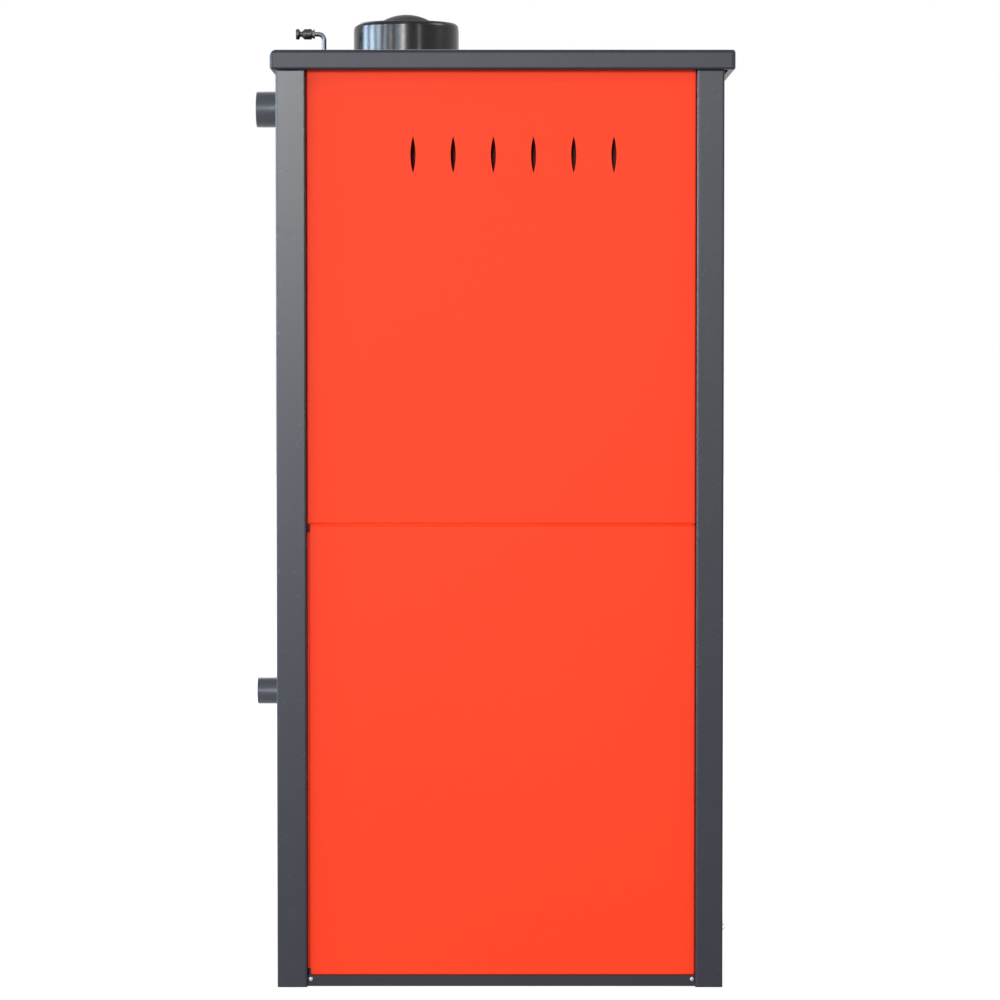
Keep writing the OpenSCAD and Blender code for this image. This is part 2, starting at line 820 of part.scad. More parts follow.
module fire_bricks() color("tan") translate([0, 0, hearth_top]) {
    rows = 3;
    h = brick_top - hearth_top;
    front = jacket_y + 54;
    back = room_y - gap;
    l = (back - front) / rows;
    both_sides() for (i = [0 : rows - 1])
        translate([room_x - gap - brick_t, front + i * l, 0]) brick(brick_t, l - gap, h);
    clear = room_x - gap - brick_t - gap;
    w = 2 * clear / rows;
    for (i = [0 : rows - 1])
        translate([i * w - clear, back - brick_t, 0]) brick(w - gap, brick_t, h);
}

// Frustum of a rectangle in the (X, Y) plane, sloping out by run_out from z0 up to z1
module hopper(x, y0, y1, z0, z1, run_out) {
    intersection() {
        wall(y0 - run_out - cut, y1 + run_out + cut)
            polygon([[-x, z0], [x, z0], [x + run_out, z1], [-x - run_out, z1]]);
        flank(-x - run_out - cut, x + run_out + cut)
            polygon([[y0, z0], [y1, z0], [y1 + run_out, z1], [y0 - run_out, z1]]);
    }
}

module hearth_frame() color(cast_grey) {
    x = grate_w / 2 + 2;
    front = grate_front - grate_travel - 4;
    rest = 8;
    difference() {
        span([-room_x + gap, jacket_y + gap, hearth_z], [room_x - gap, room_y - gap, hearth_top]);
        span([-x, front, hearth_z + 6], [x, grate_back + 2, hearth_top + cut]);
        span([rest - x, front, hearth_z - cut], [x - rest, grate_back + 2 - rest, hearth_z + 7]);
        hopper(x, front, grate_back + 2, hearth_top - 5, hearth_top + 2, 9);
    }
}

module throat_baffle() color("wheat")
    span([-room_x + gap, baffle_front, brick_top], [room_x - gap, room_y - gap, brick_top + throat_t]);

module grate_slots() {
    pitch = grate_w / slot_rows;
    slot = pitch / 2;
    for (i = [0 : slot_rows - 1]) for (j = [0, 1])
        translate([(i - (slot_rows - 1) / 2) * pitch, grate_front + grate_l * (0.27 + 0.46 * j)])
            for (s = [-1, 1]) {
                translate([-slot / 2, -grate_l * 0.17]) square([slot, grate_l * 0.34]);
                translate([0, s * grate_l * 0.17]) circle(slot / 2);
            }
}

module shaker_grate() color(cast_grey) {
    difference() {
        deck(grate_z, grate_z + grate_t) difference() {
            translate([-grate_w / 2, grate_front]) soft_rect(grate_w, grate_l, [4, 4, 4, 4]);
            grate_slots();
        }
        for (s = [-1, 1]) translate([0, grate_front + grate_l / 2 + s * grate_l * 0.35, 0])
            span([-grate_w / 2 + 14, -3, grate_z - cut], [grate_w / 2 - 14, 3, grate_z + 4]);
    }
    difference() {
        span([-10, grate_front, rod_z - 7], [10, grate_front + grate_lug, grate_z]);
        drill(0, rod_z, rod_r + run, grate_front - cut, grate_front + grate_lug + cut);
    }
}

// Turned knob on a rod's end: its foot at y = 0, reaching out towards -Y
module knob_profile(r, l) {
    square([r * 0.55, l]);
    translate([0, l * 0.3]) soft_rect(r, l * 0.7, [0, r * 0.25, r * 0.35, 0]);
}

module shaker_rod() color(bright) {
    knob_l = 22;
    out = rail_y - 2;
    drill(0, rod_z, rod_r, out - 5, grate_front + grate_lug);
    turned(0, out, rod_z) knob_profile(10, knob_l);
}

// Oven

module oven_box() color(dark_steel) difference() {
    w = oven_half + oven_sheet;
    span([-w, jacket_y, oven_floor - oven_sheet], [w, oven_back + oven_sheet, oven_roof + oven_sheet]);
    span([-oven_half, jacket_y - cut, oven_floor], [oven_half, oven_back, oven_roof]);
}

module rod_y(x, z, r, y0, y1) {
    translate([x, y0, z]) rotate([-90, 0, 0]) cylinder(r = r, h = y1 - y0);
}

module rod_x(y, z, r, x0, x1) {
    translate([x0, y, z]) rotate([0, 90, 0]) cylinder(r = r, h = x1 - x0);
}

module oven_runners() color(bright) both_sides() {
    upright_x = oven_half - gap - post_wire;
    for (y = [jacket_y + 50, oven_back - 45])
        translate([upright_x, y, oven_floor + 35]) cylinder(r = post_wire, h = oven_roof - oven_floor - 75);
    for (i = [0 : runners - 1])
        rod_y(runner_x, runner_z + i * runner_pitch, runner_r, jacket_y + 30, oven_back - 8);
}

// Centre height of a rod lying on the runner at height z, one rod inside the other's edge
rack_in = 2;
rack_lift = 2 * runner_r;
rack_back = oven_back - 6;
rack_front = jacket_y + 60;

// Bent wire frame with straight bars let into it and one cross bar under their middle
module oven_rack() color(bright) {
    z = rack_level + rack_lift;
    x = runner_x - rack_in;
    bend = 14;
    bar_r = 1.6;
    brace_r = 2.2;
    bars = 13;
    front = rack_front + runner_r;
    back = rack_back - runner_r;
    translate([0, 0, z]) rotate([-90, 0, 0]) rope_loop(x, front, back, runner_r, bend);
    for (i = [1 : bars])
        rod_y(i * 2 * x / (bars + 1) - x, z, bar_r, front, back);
    rod_x((front + back) / 2, z - 0.6, brace_r, -x, x);
}

module baking_tray() color(cast_grey) {
    t = 1.5;
    z = tray_level + runner_r + gap;
    w = 2 * (runner_x - 1.5);
    l = rack_back - rack_front;
    deep = 24;
    side_rim = 10;
    end_rim = 8;
    corner = 10;
    body_w = w - 2 * side_rim;
    body_l = l - 2 * end_rim;
    translate([0, rack_front, 0]) difference() {
        union() {
            deck(z, z + t) translate([-w / 2, 0]) soft_rect(w, l, [for (i = [0 : 3]) corner + 2]);
            deck(z - deep, z + t) translate([-body_w / 2, end_rim])
                soft_rect(body_w, body_l, [for (i = [0 : 3]) corner]);
        }
        deck(z - deep + t, z + t + cut) translate([t - body_w / 2, end_rim + t])
            soft_rect(body_w - 2 * t, body_l - 2 * t, [for (i = [0 : 3]) corner - t]);
    }
}

damper_x = 120;
shelf_t = 4;
port_half = 110;
port_front = room_y - 50;
port_rear = room_y - 8;

module smoke_shelf() color(dark_steel) difference() {
    span([-room_x + gap, shelf_front, shelf_z], [room_x - gap, room_y - gap, shelf_z + shelf_t]);
    span([-port_half, port_front, shelf_z - cut], [port_half, port_rear, shelf_z + shelf_t + cut]);
}

// Sliding plate over the port, with a lug for its rod
module damper() color(dark_steel) {
    z = shelf_z + shelf_t + gap;
    plate_t = 3;
    front = port_front - 7;
    lug_half = 8;
    knob_r = 11;
    knob_l = 24;
    span([-port_half - lug_half, front, z], [damper_x + lug_half + 4, port_rear + 3, z + plate_t]);
    span([damper_x - lug_half, front, z], [damper_x + lug_half, front + lug_half, control_z + lug_half]);
    drill(damper_x, control_z, rod_r, door_y - 8, front + 1);
    turned(damper_x, door_y - 3, control_z) knob_profile(knob_r, knob_l);
}

// Gauges

gauge_r = 23.7;
gauge_depth = 18;
gauge_x = [-120, 0];
dial_r = 25;
bezel_w = 4;
bezel_t = 6;
dial_sink = 1;                            // fascia to the dial's face

module gauge_cases() color(bright) for (x = gauge_x)
    turned(x, door_y, control_z) difference() {
        union() {
            translate([0, -gauge_depth]) square([gauge_r, gauge_depth + cut]);
            soft_rect(dial_r + bezel_w, bezel_t, [0, 0, 2, 0]);
        }
        difference() {
            translate([-cut, dial_sink]) square([dial_r + cut, bezel_t]);
            square([1.2, 3.2]);
        }
    }

module gauge_lenses() color([0.8, 0.9, 1, 0.4]) for (x = gauge_x)
    turned(x, door_y - 3.8, control_z) square([dial_r - 0.1, 1.5]);

module pointer(x) color("red")
    translate([x, door_y - 1.6, control_z]) rotate([90, 0, 0]) rotate([0, 0, 135])
    linear_extrude(0.9) difference() {
        union() {
            circle(3);
            polygon([[-2, -8], [2, -8], [1.4, 0], [0.5, 20], [-0.5, 20], [-1.4, 0]]);
        }
        circle(1.2 + run);
    }

module boiler_pointer() pointer(gauge_x[0]);
module oven_pointer() pointer(gauge_x[1]);

// Doors

// Frustum of a rectangle in the (X, Z) plane, from half-width x at depth y0 to x + slope at depth y1
module bevel(x, z0, z1, y0, y1, slope) {
    near = min(y0, y1);
    far = max(y0, y1);
    s0 = y0 < y1 ? 0 : slope;
    s1 = y0 < y1 ? slope : 0;
    reach = abs(slope) + cut;
    intersection() {
        deck(z0 - reach, z1 + reach)
            polygon([[-x - s0, near], [x + s0, near], [x + s1, far], [-x - s1, far]]);
        flank(-x - reach, x + reach)
            polygon([[near, z0 - s0], [near, z1 + s0], [far, z1 + s1], [far, z0 - s1]]);
    }
}

// Rope loop in the (X, Z) plane round an opening
module rope_loop(x, z0, z1, r, corner) {
    for (s = [-1, 1]) translate([s * x, 0, z0 + corner]) cylinder(r = r, h = z1 - z0 - 2 * corner);
    for (z = [z0, z1]) rod_x(0, z, r, corner - x, x - corner);
    for (sx = [0, 1]) for (sz = [0, 1])
        mirror([sx, 0, 0]) translate([x - corner, 0, sz == 0 ? z0 + corner : z1 - corner])
            mirror([0, 0, 1 - sz])
            rotate([90, 0, 0]) rotate_extrude(angle = 90) translate([corner, 0]) circle(r);
}

module seal(w, z0, z1) {
    translate([0, plate_y - gap - rope_r, 0])
        rope_loop(w / 2 + rope_margin, z0 - rope_margin, z1 + rope_margin, rope_r, seal_corner);
}

module seal_groove(w, z0, z1) {
    r = rope_r + gap;
    x = w / 2 + rope_margin;
    a = z0 - rope_margin;
    b = z1 + rope_margin;
    wall(plate_y - gap - 2 * rope_r - gap, door_back + cut) difference() {
        soft_window(2 * (x + r), a - r, b + r, seal_corner + r);
        soft_window(2 * (x - r), a + r, b - r, seal_corner - r);
    }
}

glass_y = door_y + frame_lip + gap;

// Cast door: bevelled window, raised bead, glass rebate, seal groove, latch pocket and hinge bores
module door_casting(z0, z1, opening, window, latch_z) {
    bead = 2.5;
    bx = window[0] / 2 + 16;
    pocket = opening[0] / 2 + rope_margin + rope_r + 3;
    difference() {
        union() {
            deck(z0, z1) translate([-door_w / 2, door_y]) soft_rect(door_w, door_t, [5, 5, 2, 2]);
            bevel(bx, window[1] - 16, window[2] + 16, door_y + cut, door_y - bead, -4);
            turned(latch_x, door_y + cut, latch_z) soft_rect(15, 1 + cut, [0, 0, 0.8, 0]);
        }
        bevel(window[0] / 2, window[1], window[2], door_y + frame_lip + cut, door_y - bead - cut, 9);
        wall(door_y + frame_lip, door_back + cut)
            soft_window(window[0] + 26, window[1] - 12, window[2] + 12, 6);
        seal_groove(opening[0], opening[1], opening[2]);
        span([pocket, door_back - 14, z0 + 8], [door_w / 2 - 4.5, door_back + cut, z1 - 8]);
        span([-door_w / 2 + 17, door_back - 14, z0 + 8], [-pocket, door_back + cut, z1 - 8]);
        drill(latch_x, latch_z, 5 + run, door_y - 2 * cut, door_back);
        for (z = [z0 - cut, z1 - 14 - cut]) translate([hinge_x, hinge_y, z])
            cylinder(r = hinge_r + run, h = 15 + cut);
    }
}

module door_glass(window) {
    wall(glass_y, glass_y + glass_t) soft_window(window[0] + 24, window[1] - 11, window[2] + 11, 5);
}

// Four clips that hold the glass in its rebate, each with its screw
module door_clips(window) {
    y = glass_y + glass_t;
    x = window[0] / 2;
    for (sx = [-1, 1]) for (z = [window[1] + 30, window[2] - 30]) translate([sx * x, 0, z]) {
        wall(y + gap, y + gap + 2) soft_window(20, -7, 7, 2);
        drill(0, 0, 3.4, y + gap + 2, y + gap + 4);
    }
}

holes = 4;
hole_pitch = 24;
slide_half = 62;
slide_t = 3;
wash_z = fire_door_top - 26;

module wash_holes(shift) {
    for (i = [0 : holes - 1]) translate([(i - (holes - 1) / 2) * hole_pitch + shift, 0]) circle(4.5);
}

module fire_door_frame() color(cast_grey) difference() {
    door_casting(fire_door_z, fire_door_top, [fire_w, fire_sill, fire_head], fire_window, fire_latch_z);
    wall(door_y - cut, door_y + slide_t + gap)
        soft_window(2 * slide_half + hole_pitch + 2, wash_z - 8, wash_z + 8, 3);
    translate([0, 0, wash_z]) wall(door_y - cut, door_back + cut) wash_holes(0);
}

module airwash_slide() color(bright) {
    y = door_y + gap / 2;
    translate([0, 0, wash_z]) {
        wall(y, y + slide_t) difference() {
            soft_window(2 * slide_half, gap - 8, 8 - gap, 2.5);
            wash_holes(-hole_pitch / 2);
        }
        turned(slide_half - 8, y + cut, 0) knob_profile(5.5, 12);
    }
}

module fire_door_glass() color([0.2, 0.2, 0.2, 0.5]) door_glass(fire_window);
module fire_door_seal() color("lightgrey") seal(fire_w, fire_sill, fire_head);
module fire_door_clips() color(bright) door_clips(fire_window);

module oven_door_frame() color(cast_grey)
    door_casting(oven_door_z, oven_door_top, [oven_open_w, oven_sill, oven_head], oven_window, oven_latch_z);
module oven_door_glass() color([0.2, 0.2, 0.2, 0.5]) door_glass(oven_window);
module oven_door_seal() color("lightgrey") seal(oven_open_w, oven_sill, oven_head);
module oven_door_clips() color(bright) door_clips(oven_window);

// Spindle with its tongue, turning in the door; the tongue stands clear of its keeper
module latch(z) color(bright) {
    tongue_y = plate_y - 9.5;
    drill(latch_x, z, 5, door_y - 12, tongue_y + 4);
    translate([latch_x, 0, z]) wall(tongue_y, tongue_y + 4) rotate(latch_rest) {
        circle(8);
        translate([0, -5]) square([latch_len - 5, 10]);
        translate([latch_len - 5, 0]) circle(5);
    }
}

// Hub on the spindle and a barrel grip that hangs from it
module lever(z) color("black") {
    grip_y = door_y - 22;
    grip_r = 9;
    neck_r = 6.5;
    top = 12;
    foot = -96;
    translate([0, -1.3, 0]) turned(latch_x, door_y, z) difference() {
        union() {
            soft_rect(13, 9, [0, 0, 2, 0]);
            square([neck_r, 18]);
        }
        translate([-cut, -cut]) square([5 + run + cut, 11 + cut]);
    }
    translate([latch_x, grip_y, z]) rotate_extrude() {
        translate([0, -neck_r]) soft_rect(neck_r + 0.5, top + neck_r, [0, 0, 4, 0]);
        polygon([[0, foot / 2], [grip_r, foot / 2], [neck_r + 0.5, -neck_r], [0, -neck_r]]);
        translate([0, foot]) soft_rect(grip_r, -foot / 2, [0, 6, 0, 0]);
    }
}

module fire_latch() latch(fire_latch_z);
module oven_latch() latch(oven_latch_z);
module fire_handle() lever(fire_latch_z);
module oven_handle() lever(oven_latch_z);

// Ash drawer

module petal_ring(shift) {
    inner = 12;
    outer = 29;
    half = 11;
    for (i = [0 : petals - 1]) rotate(i * 360 / petals + shift) intersection() {
        difference() {
            circle(outer);
            circle(inner);
        }
        polygon([[0, 0], [2 * outer, -2 * outer * tan(half)], [2 * outer, 2 * outer * tan(half)]]);
    }
}

drawer_depth = 20;
drawer_back = door_y + drawer_depth;

module ash_drawer_front() color(orange_red) difference() {
    translate([-door_w / 2, door_y, drawer_z]) mirror([0, 1, 0]) rotate([90, 0, 0])
        tray(door_w, drawer_top - drawer_z, drawer_depth, post_sheet, panel_bend);
    translate([0, 0, rosette_z]) wall(door_y - cut, door_y + 2 * post_sheet) petal_ring(0);
    drill(0, rosette_z, 5 + run, door_y - cut, door_y + 2 * post_sheet);
}

module ash_pan() color(dark_steel) {
    t = 1.5;
    back = room_y - 40;
    floor_z = room_floor + gap;
    wall(drawer_back, drawer_back + t) difference() {
        soft_window(door_w, drawer_z, drawer_top, panel_bend);
        translate([0, rosette_z]) circle(rosette_r);
    }
    difference() {
        deck(floor_z, pan_top) translate([-pan_half, drawer_back + t])
            soft_rect(2 * pan_half, back - drawer_back - t, [0, 0, 8, 8]);
        deck(floor_z + t, pan_top + cut) translate([t - pan_half, drawer_back + t])
            soft_rect(2 * (pan_half - t), back - drawer_back - 2 * t, [0, 0, 8 - t, 8 - t]);
    }
}

// Bar handle on two feet
module ash_handle() color(bright) {
    r = 5;
    out = 23;
    x = 75;
    rod_x(door_y - out, handle_z, r, -x, x);
    for (s = [-1, 1]) translate([s * x, door_y - out, handle_z]) sphere(r);
    for (s = [-1, 1]) turned(s * (x - 12), door_y, handle_z) {
        soft_rect(8, 3, [0, 0, 1.5, 0]);
        square([r - 1, out]);
    }
}

module air_rosette() color(bright) {
    translate([0, 0, rosette_z]) wall(door_y - 4.3, door_y - gap) difference() {
        circle(rosette_r);
        petal_ring(180 / petals);
    }
    turned(0, door_y - gap, rosette_z) {
        difference() {
            soft_rect(rosette_r, 6, [0, 0, 1.5, 0]);
            translate([-cut, -cut]) square([rosette_r - 4 + cut, 8]);
        }
        translate([0, -8]) square([5, 10]);
        translate([0, 4]) knob_profile(9, 16);
    }
    drill(0, rosette_z, 9, door_y + post_sheet + gap, door_y + post_sheet + gap + 2);
}

base_tray();
plinth_screws();
post_front_left();
post_front_right();
post_rear_left();
post_rear_right();
side_panel_upper_left();
side_panel_lower_left();
side_panel_upper_right();
side_panel_lower_right();
rear_panel_upper();
rear_panel_lower();
lid();
front_fascia();
front_rails();
hinge_pins();
insulation();
jacket_outer();
jacket_inner();
front_plate();
latch_keepers();
flue_collar();
flue_cap();
flow_socket();
return_socket();
bleed_tube();
bleed_body();
bleed_knob();
fire_bricks();
hearth_frame();
throat_baffle();
shaker_grate();
shaker_rod();
oven_box();
oven_runners();
oven_rack();
baking_tray();
smoke_shelf();
damper();
gauge_cases();
gauge_lenses();
boiler_pointer();
oven_pointer();
fire_door_frame();
fire_door_glass();
fire_door_seal();
fire_door_clips();
airwash_slide();
fire_handle();
fire_latch();
oven_door_frame();
oven_door_glass();
oven_door_seal();
oven_door_clips();
oven_handle();
oven_latch();
ash_drawer_front();
ash_pan();
ash_handle();
air_rosette();
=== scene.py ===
"""Dresses the upright wood cook stove: finishes, small parts, floor and light. Lengths are in metres.

The front faces -Y, the photographed side faces -X, and +Z is up.
"""

import math

import bmesh
import bpy
from mathutils import Matrix, Vector


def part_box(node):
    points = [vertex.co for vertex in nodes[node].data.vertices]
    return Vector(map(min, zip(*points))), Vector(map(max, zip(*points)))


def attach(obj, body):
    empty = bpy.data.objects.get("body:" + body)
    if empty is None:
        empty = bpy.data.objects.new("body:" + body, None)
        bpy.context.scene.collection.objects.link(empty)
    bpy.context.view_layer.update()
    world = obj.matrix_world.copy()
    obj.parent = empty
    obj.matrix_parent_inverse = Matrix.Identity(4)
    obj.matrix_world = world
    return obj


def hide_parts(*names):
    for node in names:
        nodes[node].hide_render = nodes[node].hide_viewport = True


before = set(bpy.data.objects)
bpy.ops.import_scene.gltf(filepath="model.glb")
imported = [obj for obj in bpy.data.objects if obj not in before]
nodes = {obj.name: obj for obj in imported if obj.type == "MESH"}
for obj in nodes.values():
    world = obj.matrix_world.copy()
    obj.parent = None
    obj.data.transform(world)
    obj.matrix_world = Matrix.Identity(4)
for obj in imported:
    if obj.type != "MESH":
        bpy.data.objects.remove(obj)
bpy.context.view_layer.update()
MM = 0.001


# Camera, first of all

SIDE_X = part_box("post_rear_left")[0].x      # the photographed side
CAMERA_DISTANCE = 5.0                       # from that side
CAMERA_HEIGHT = 0.8618
CAMERA_PITCH = math.radians(2.34)           # downwards
CAMERA_LENS = 134.33                        # lens and sensor in millimetres
SENSOR = 36.0
CAMERA_REACH = 60


def place_camera():
    camera = bpy.data.objects.new("camera", bpy.data.cameras.new("camera"))
    bpy.context.scene.collection.objects.link(camera)
    camera.data.lens = CAMERA_LENS
    camera.data.sensor_width = SENSOR
    camera.data.clip_end = CAMERA_REACH
    camera.location = (SIDE_X - CAMERA_DISTANCE, 0, CAMERA_HEIGHT)
    camera.rotation_euler = (math.pi / 2 - CAMERA_PITCH, 0, -math.pi / 2)
    bpy.context.scene.camera = camera


# Finishes

def shade(red, green, blue):
    """A colour as a picture shows it, 0 to 255, turned into linear light."""
    def linear(level):
        level /= 255
        return level / 12.92 if level <= 0.04045 else ((level + 0.055) / 1.055) ** 2.4
    return (linear(red), linear(green), linear(blue), 1.0)


class Value:
    """A socket of a finish that can be written in sums."""

    def __init__(self, finish, socket):
        self.finish = finish
        self.socket = socket

    def _math(self, operation, first, second):
        return self.finish.node("Math", {"operation": operation}, {0: first, 1: second})

    def __add__(self, other):
        return self._math("ADD", self, other)

    def __radd__(self, other):
        return self._math("ADD", other, self)

    def __sub__(self, other):
        return self._math("SUBTRACT", self, other)

    def __rsub__(self, other):
        return self._math("SUBTRACT", other, self)

    def __mul__(self, other):
        return self._math("MULTIPLY", self, other)

    def __rmul__(self, other):
        return self._math("MULTIPLY", other, self)


class Finish:
    """A surface finish, patterned on the piece's Object coordinates."""

    def __init__(self, name, constants=()):
        self.material = bpy.data.materials.new(name)
        self.material.use_nodes = True
        self.tree = self.material.node_tree
        self.shader = self.tree.nodes["Principled BSDF"]
        for socket, value in dict(constants).items():
            self.shader.inputs[socket].default_value = value

    def node(self, kind, settings=(), inputs=(), output=0):
        """Adds a node with its settings and inputs, and gives one of its outputs."""
        made = self.tree.nodes.new("ShaderNode" + kind)
        for name, value in dict(settings).items():
            setattr(made, name, value)
        for name, value in dict(inputs).items():
            if isinstance(value, Value):
                self.tree.links.new(value.socket, made.inputs[name])
            else:
                made.inputs[name].default_value = value
        return Value(self, made.outputs[output])

    def feed(self, socket, value):
        self.tree.links.new(value.socket, self.shader.inputs[socket])

    def point(self, stretch=(1, 1, 1)):
        where = self.node("TexCoord", output="Object")
        if stretch == (1, 1, 1):
            return where
        return self.node("Mapping", {}, {"Vector": where, "Scale": stretch})

    def part(self, axis):
        """One coordinate of the point: 0, 1 or 2."""
        return self.node("SeparateXYZ", {}, {0: self.point()}, output=axis)

    def noise(self, scale, detail=2.0, stretch=(1, 1, 1), roughness=0.5):
        return self.node("TexNoise", {}, {"Vector": self.point(stretch), "Scale": scale,
                                          "Detail": detail, "Roughness": roughness})

    def cells(self, scale):
        """Distance to the middle of the nearest of many scattered cells."""
        return self.node("TexVoronoi", {"feature": "F1"}, {"Vector": self.point(), "Scale": scale})

    def band(self, value, low, high, start=0.0, end=1.0):
        """start below low, end above high, and a smooth step between."""
        return self.node("MapRange", {"interpolation_type": "SMOOTHSTEP"},
                         {0: value, 1: low, 2: high, 3: start, 4: end})

    def mix(self, factor, first, second):
        return self.node("Mix", {"data_type": "RGBA"}, {0: factor, 6: first, 7: second}, output=2)

    def bump(self, height, distance):
        made = self.node("Bump", {}, {"Height": height, "Distance": distance, "Strength": 1.0})
        self.feed("Normal", made)


def powder_coat(name, dark, light, roughness, specular, peel):
    """Sprayed powder paint: a slow drift of shade and orange peel."""
    finish = Finish(name, {"Specular IOR Level": specular})
    drift = finish.noise(1.7, detail=2.0)
    film = finish.noise(38, detail=3.0)
    finish.feed("Base Color", finish.mix(drift * 0.75 + film * 0.25, dark, light))
    finish.feed("Roughness", roughness + (film - 0.5) * 0.03)
    finish.bump(finish.noise(420, detail=3.0) * 0.75 + finish.noise(1500, detail=1.0) * 0.25, peel)
    return finish


def stove_paint(name, dark, light, grain):
    """Matt stove paint over cast iron: sand-cast grain and dusty high spots."""
    finish = Finish(name, {"Specular IOR Level": 0.35})
    sand = finish.noise(760, detail=4.0, roughness=0.65)
    cloud = finish.noise(14, detail=3.0)
    finish.feed("Base Color", finish.mix(cloud * 0.6 + sand * 0.4, dark, light))
    finish.feed("Roughness", 0.55 + sand * 0.22)
    finish.bump(sand * 0.8 + cloud * 0.2, grain)
    return finish


def plate_steel(name, dark, light, metallic):
    """Hot-rolled plate: blue-grey scale in blotches, with rolling lines and a bloom of rust."""
    finish = Finish(name, {"Metallic": metallic})
    blotch = finish.band(finish.noise(22, detail=5.0, roughness=0.6), 0.42, 0.62)
    lines = finish.noise(30, detail=3.0, stretch=(6, 6, 0.4))
    scale = finish.mix(blotch * 0.7 + lines * 0.3, dark, light)
    rust = finish.band(finish.noise(55, detail=4.0), 0.60, 0.74, end=0.35)
    finish.feed("Base Color", finish.mix(rust, scale, shade(92, 58, 38)))
    finish.feed("Roughness", 0.42 + blotch * 0.16 + lines * 0.08)
    finish.bump(blotch * 0.5 + finish.noise(300, detail=3.0) * 0.5, 0.15 * MM)
    return finish


def plated_steel(name, colour, roughness, stretch=(1, 1, 1)):
    """Zinc or chrome plate: faint drawing lines and fingermarks in the gloss."""
    finish = Finish(name, {"Metallic": 1.0})
    lines = finish.noise(700, detail=2.0, stretch=stretch)
    marks = finish.noise(60, detail=3.0)
    bright = tuple(min(1.0, 1.08 * c) for c in colour[:3]) + (1.0,)
    dull = tuple(0.86 * c for c in colour[:3]) + (1.0,)
    finish.feed("Base Color", finish.mix(marks, dull, bright))
    finish.feed("Roughness", roughness + marks * 0.10 + lines * 0.05)
    finish.bump(lines, 0.02 * MM)
    return finish


DOME_HEIGHT = 15 * MM                             # dome over the rounded rim of the flue cap
DOME_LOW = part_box("flue_cap")[1].z - DOME_HEIGHT
DOME_BLEND = 2 * MM                               # height in which the gloss turns duller


def gloss_black(name):
    """Black gloss enamel on a pressed cap: tiny ripples, a little dust and a duller dome."""
    finish = Finish(name, {"Specular IOR Level": 0.28})
    ripple = finish.noise(26, detail=2.0)
    dome = finish.band(finish.part(2), DOME_LOW, DOME_LOW + DOME_BLEND)
    dust = finish.band(finish.noise(900, detail=3.0), 0.62, 0.72, end=0.10)
    finish.feed("Base Color", finish.mix(dust, shade(19, 19, 21), shade(120, 118, 114)))
    finish.feed("Roughness", 0.17 + ripple * 0.08 + dust * 1.5 + dome * 0.5)
    finish.bump(ripple, 0.25 * MM)
    return finish


def bakelite(name, dark, light):
    """Moulded black plastic with faint flow lines."""
    finish = Finish(name, {"Specular IOR Level": 0.5})
    flow = finish.noise(55, detail=3.0, stretch=(1, 1, 0.3))
    finish.feed("Base Color", finish.mix(flow, dark, light))
    finish.feed("Roughness", 0.26 + flow * 0.12)
    finish.bump(finish.noise(900, detail=2.0), 0.03 * MM)
    return finish


def firebrick():
    """Vermiculite board: golden flecks in pale grit, sooted from the bed upwards."""
    finish = Finish("firebrick_board", {"Specular IOR Level": 0.2})
    grit = finish.noise(520, detail=4.0, roughness=0.7)
    flecks = finish.cells(240)
    board = finish.mix(finish.band(flecks, 0.1, 0.55), shade(214, 186, 138), shade(158, 126, 86))
    board = finish.mix(grit * 0.5, board, shade(232, 214, 180))
    height = finish.part(2)
    soot = finish.band(height + finish.noise(16, detail=4.0) * 0.22, 0.33, 0.58, start=0.88, end=0.18)
    finish.feed("Base Color", finish.mix(soot, board, shade(30, 27, 25)))
    finish.feed("Roughness", 0.86 + grit * 0.1)
    finish.bump(grit * 0.9 + flecks * 0.1, 0.3 * MM)
    return finish


def wool():
    """Stone wool: matted fibres in yellow and brown."""
    finish = Finish("stone_wool", {"Roughness": 0.95, "Specular IOR Level": 0.1, "Sheen Weight": 0.3})
    fibres = finish.noise(160, detail=5.0, stretch=(1, 1, 7), roughness=0.7)
    mats = finish.noise(28, detail=4.0)
    tint = finish.mix(fibres * 0.6 + mats * 0.4, shade(104, 88, 48), shade(206, 188, 120))
    finish.feed("Base Color", tint)
    finish.bump(fibres, 2.0 * MM)
    return finish


def glass_fibre():
    """Braided glass-fibre rope: pale yarns with ash dust between them."""
    finish = Finish("glass_fibre_rope",
                    {"Roughness": 0.9, "Specular IOR Level": 0.2, "Sheen Weight": 0.4})
    yarn = finish.noise(900, detail=3.0, roughness=0.7)
    dust = finish.noise(70, detail=3.0)
    pale = finish.mix(yarn, shade(150, 147, 138), shade(224, 221, 210))
    finish.feed("Base Color", finish.mix(finish.band(dust, 0.5, 0.8, end=0.5), pale, shade(96, 92, 88)))
    finish.bump(yarn, 0.3 * MM)
    return finish


def clear_glass(name, tint, haze_tint, haze):
    """Glass with a faint haze of smoke or fingermarks in its gloss."""
    finish = Finish(name, {"Transmission Weight": 1.0, "IOR": 1.5})
    smears = finish.noise(5, detail=2.0)
    finish.feed("Base Color", finish.mix(finish.band(smears, 0.35, 0.75, end=haze), tint, haze_tint))
    finish.feed("Roughness", smears * 0.02)
    return finish


def speckled_enamel():
    """Black vitreous enamel with the white specks of oven trays."""
    finish = Finish("speckled_enamel", {"Specular IOR Level": 0.6, "Coat Weight": 0.3})
    specks = finish.band(finish.cells(330), 0.0, 0.17, start=1.0, end=0.0)
    few = finish.band(finish.noise(150, detail=1.0), 0.50, 0.56)
    finish.feed("Base Color", finish.mix(specks * few, shade(22, 23, 28), shade(214, 216, 220)))
    finish.feed("Roughness", 0.14 + finish.noise(60, detail=2.0) * 0.10)
    finish.bump(finish.noise(90, detail=2.0), 0.2 * MM)
    return finish


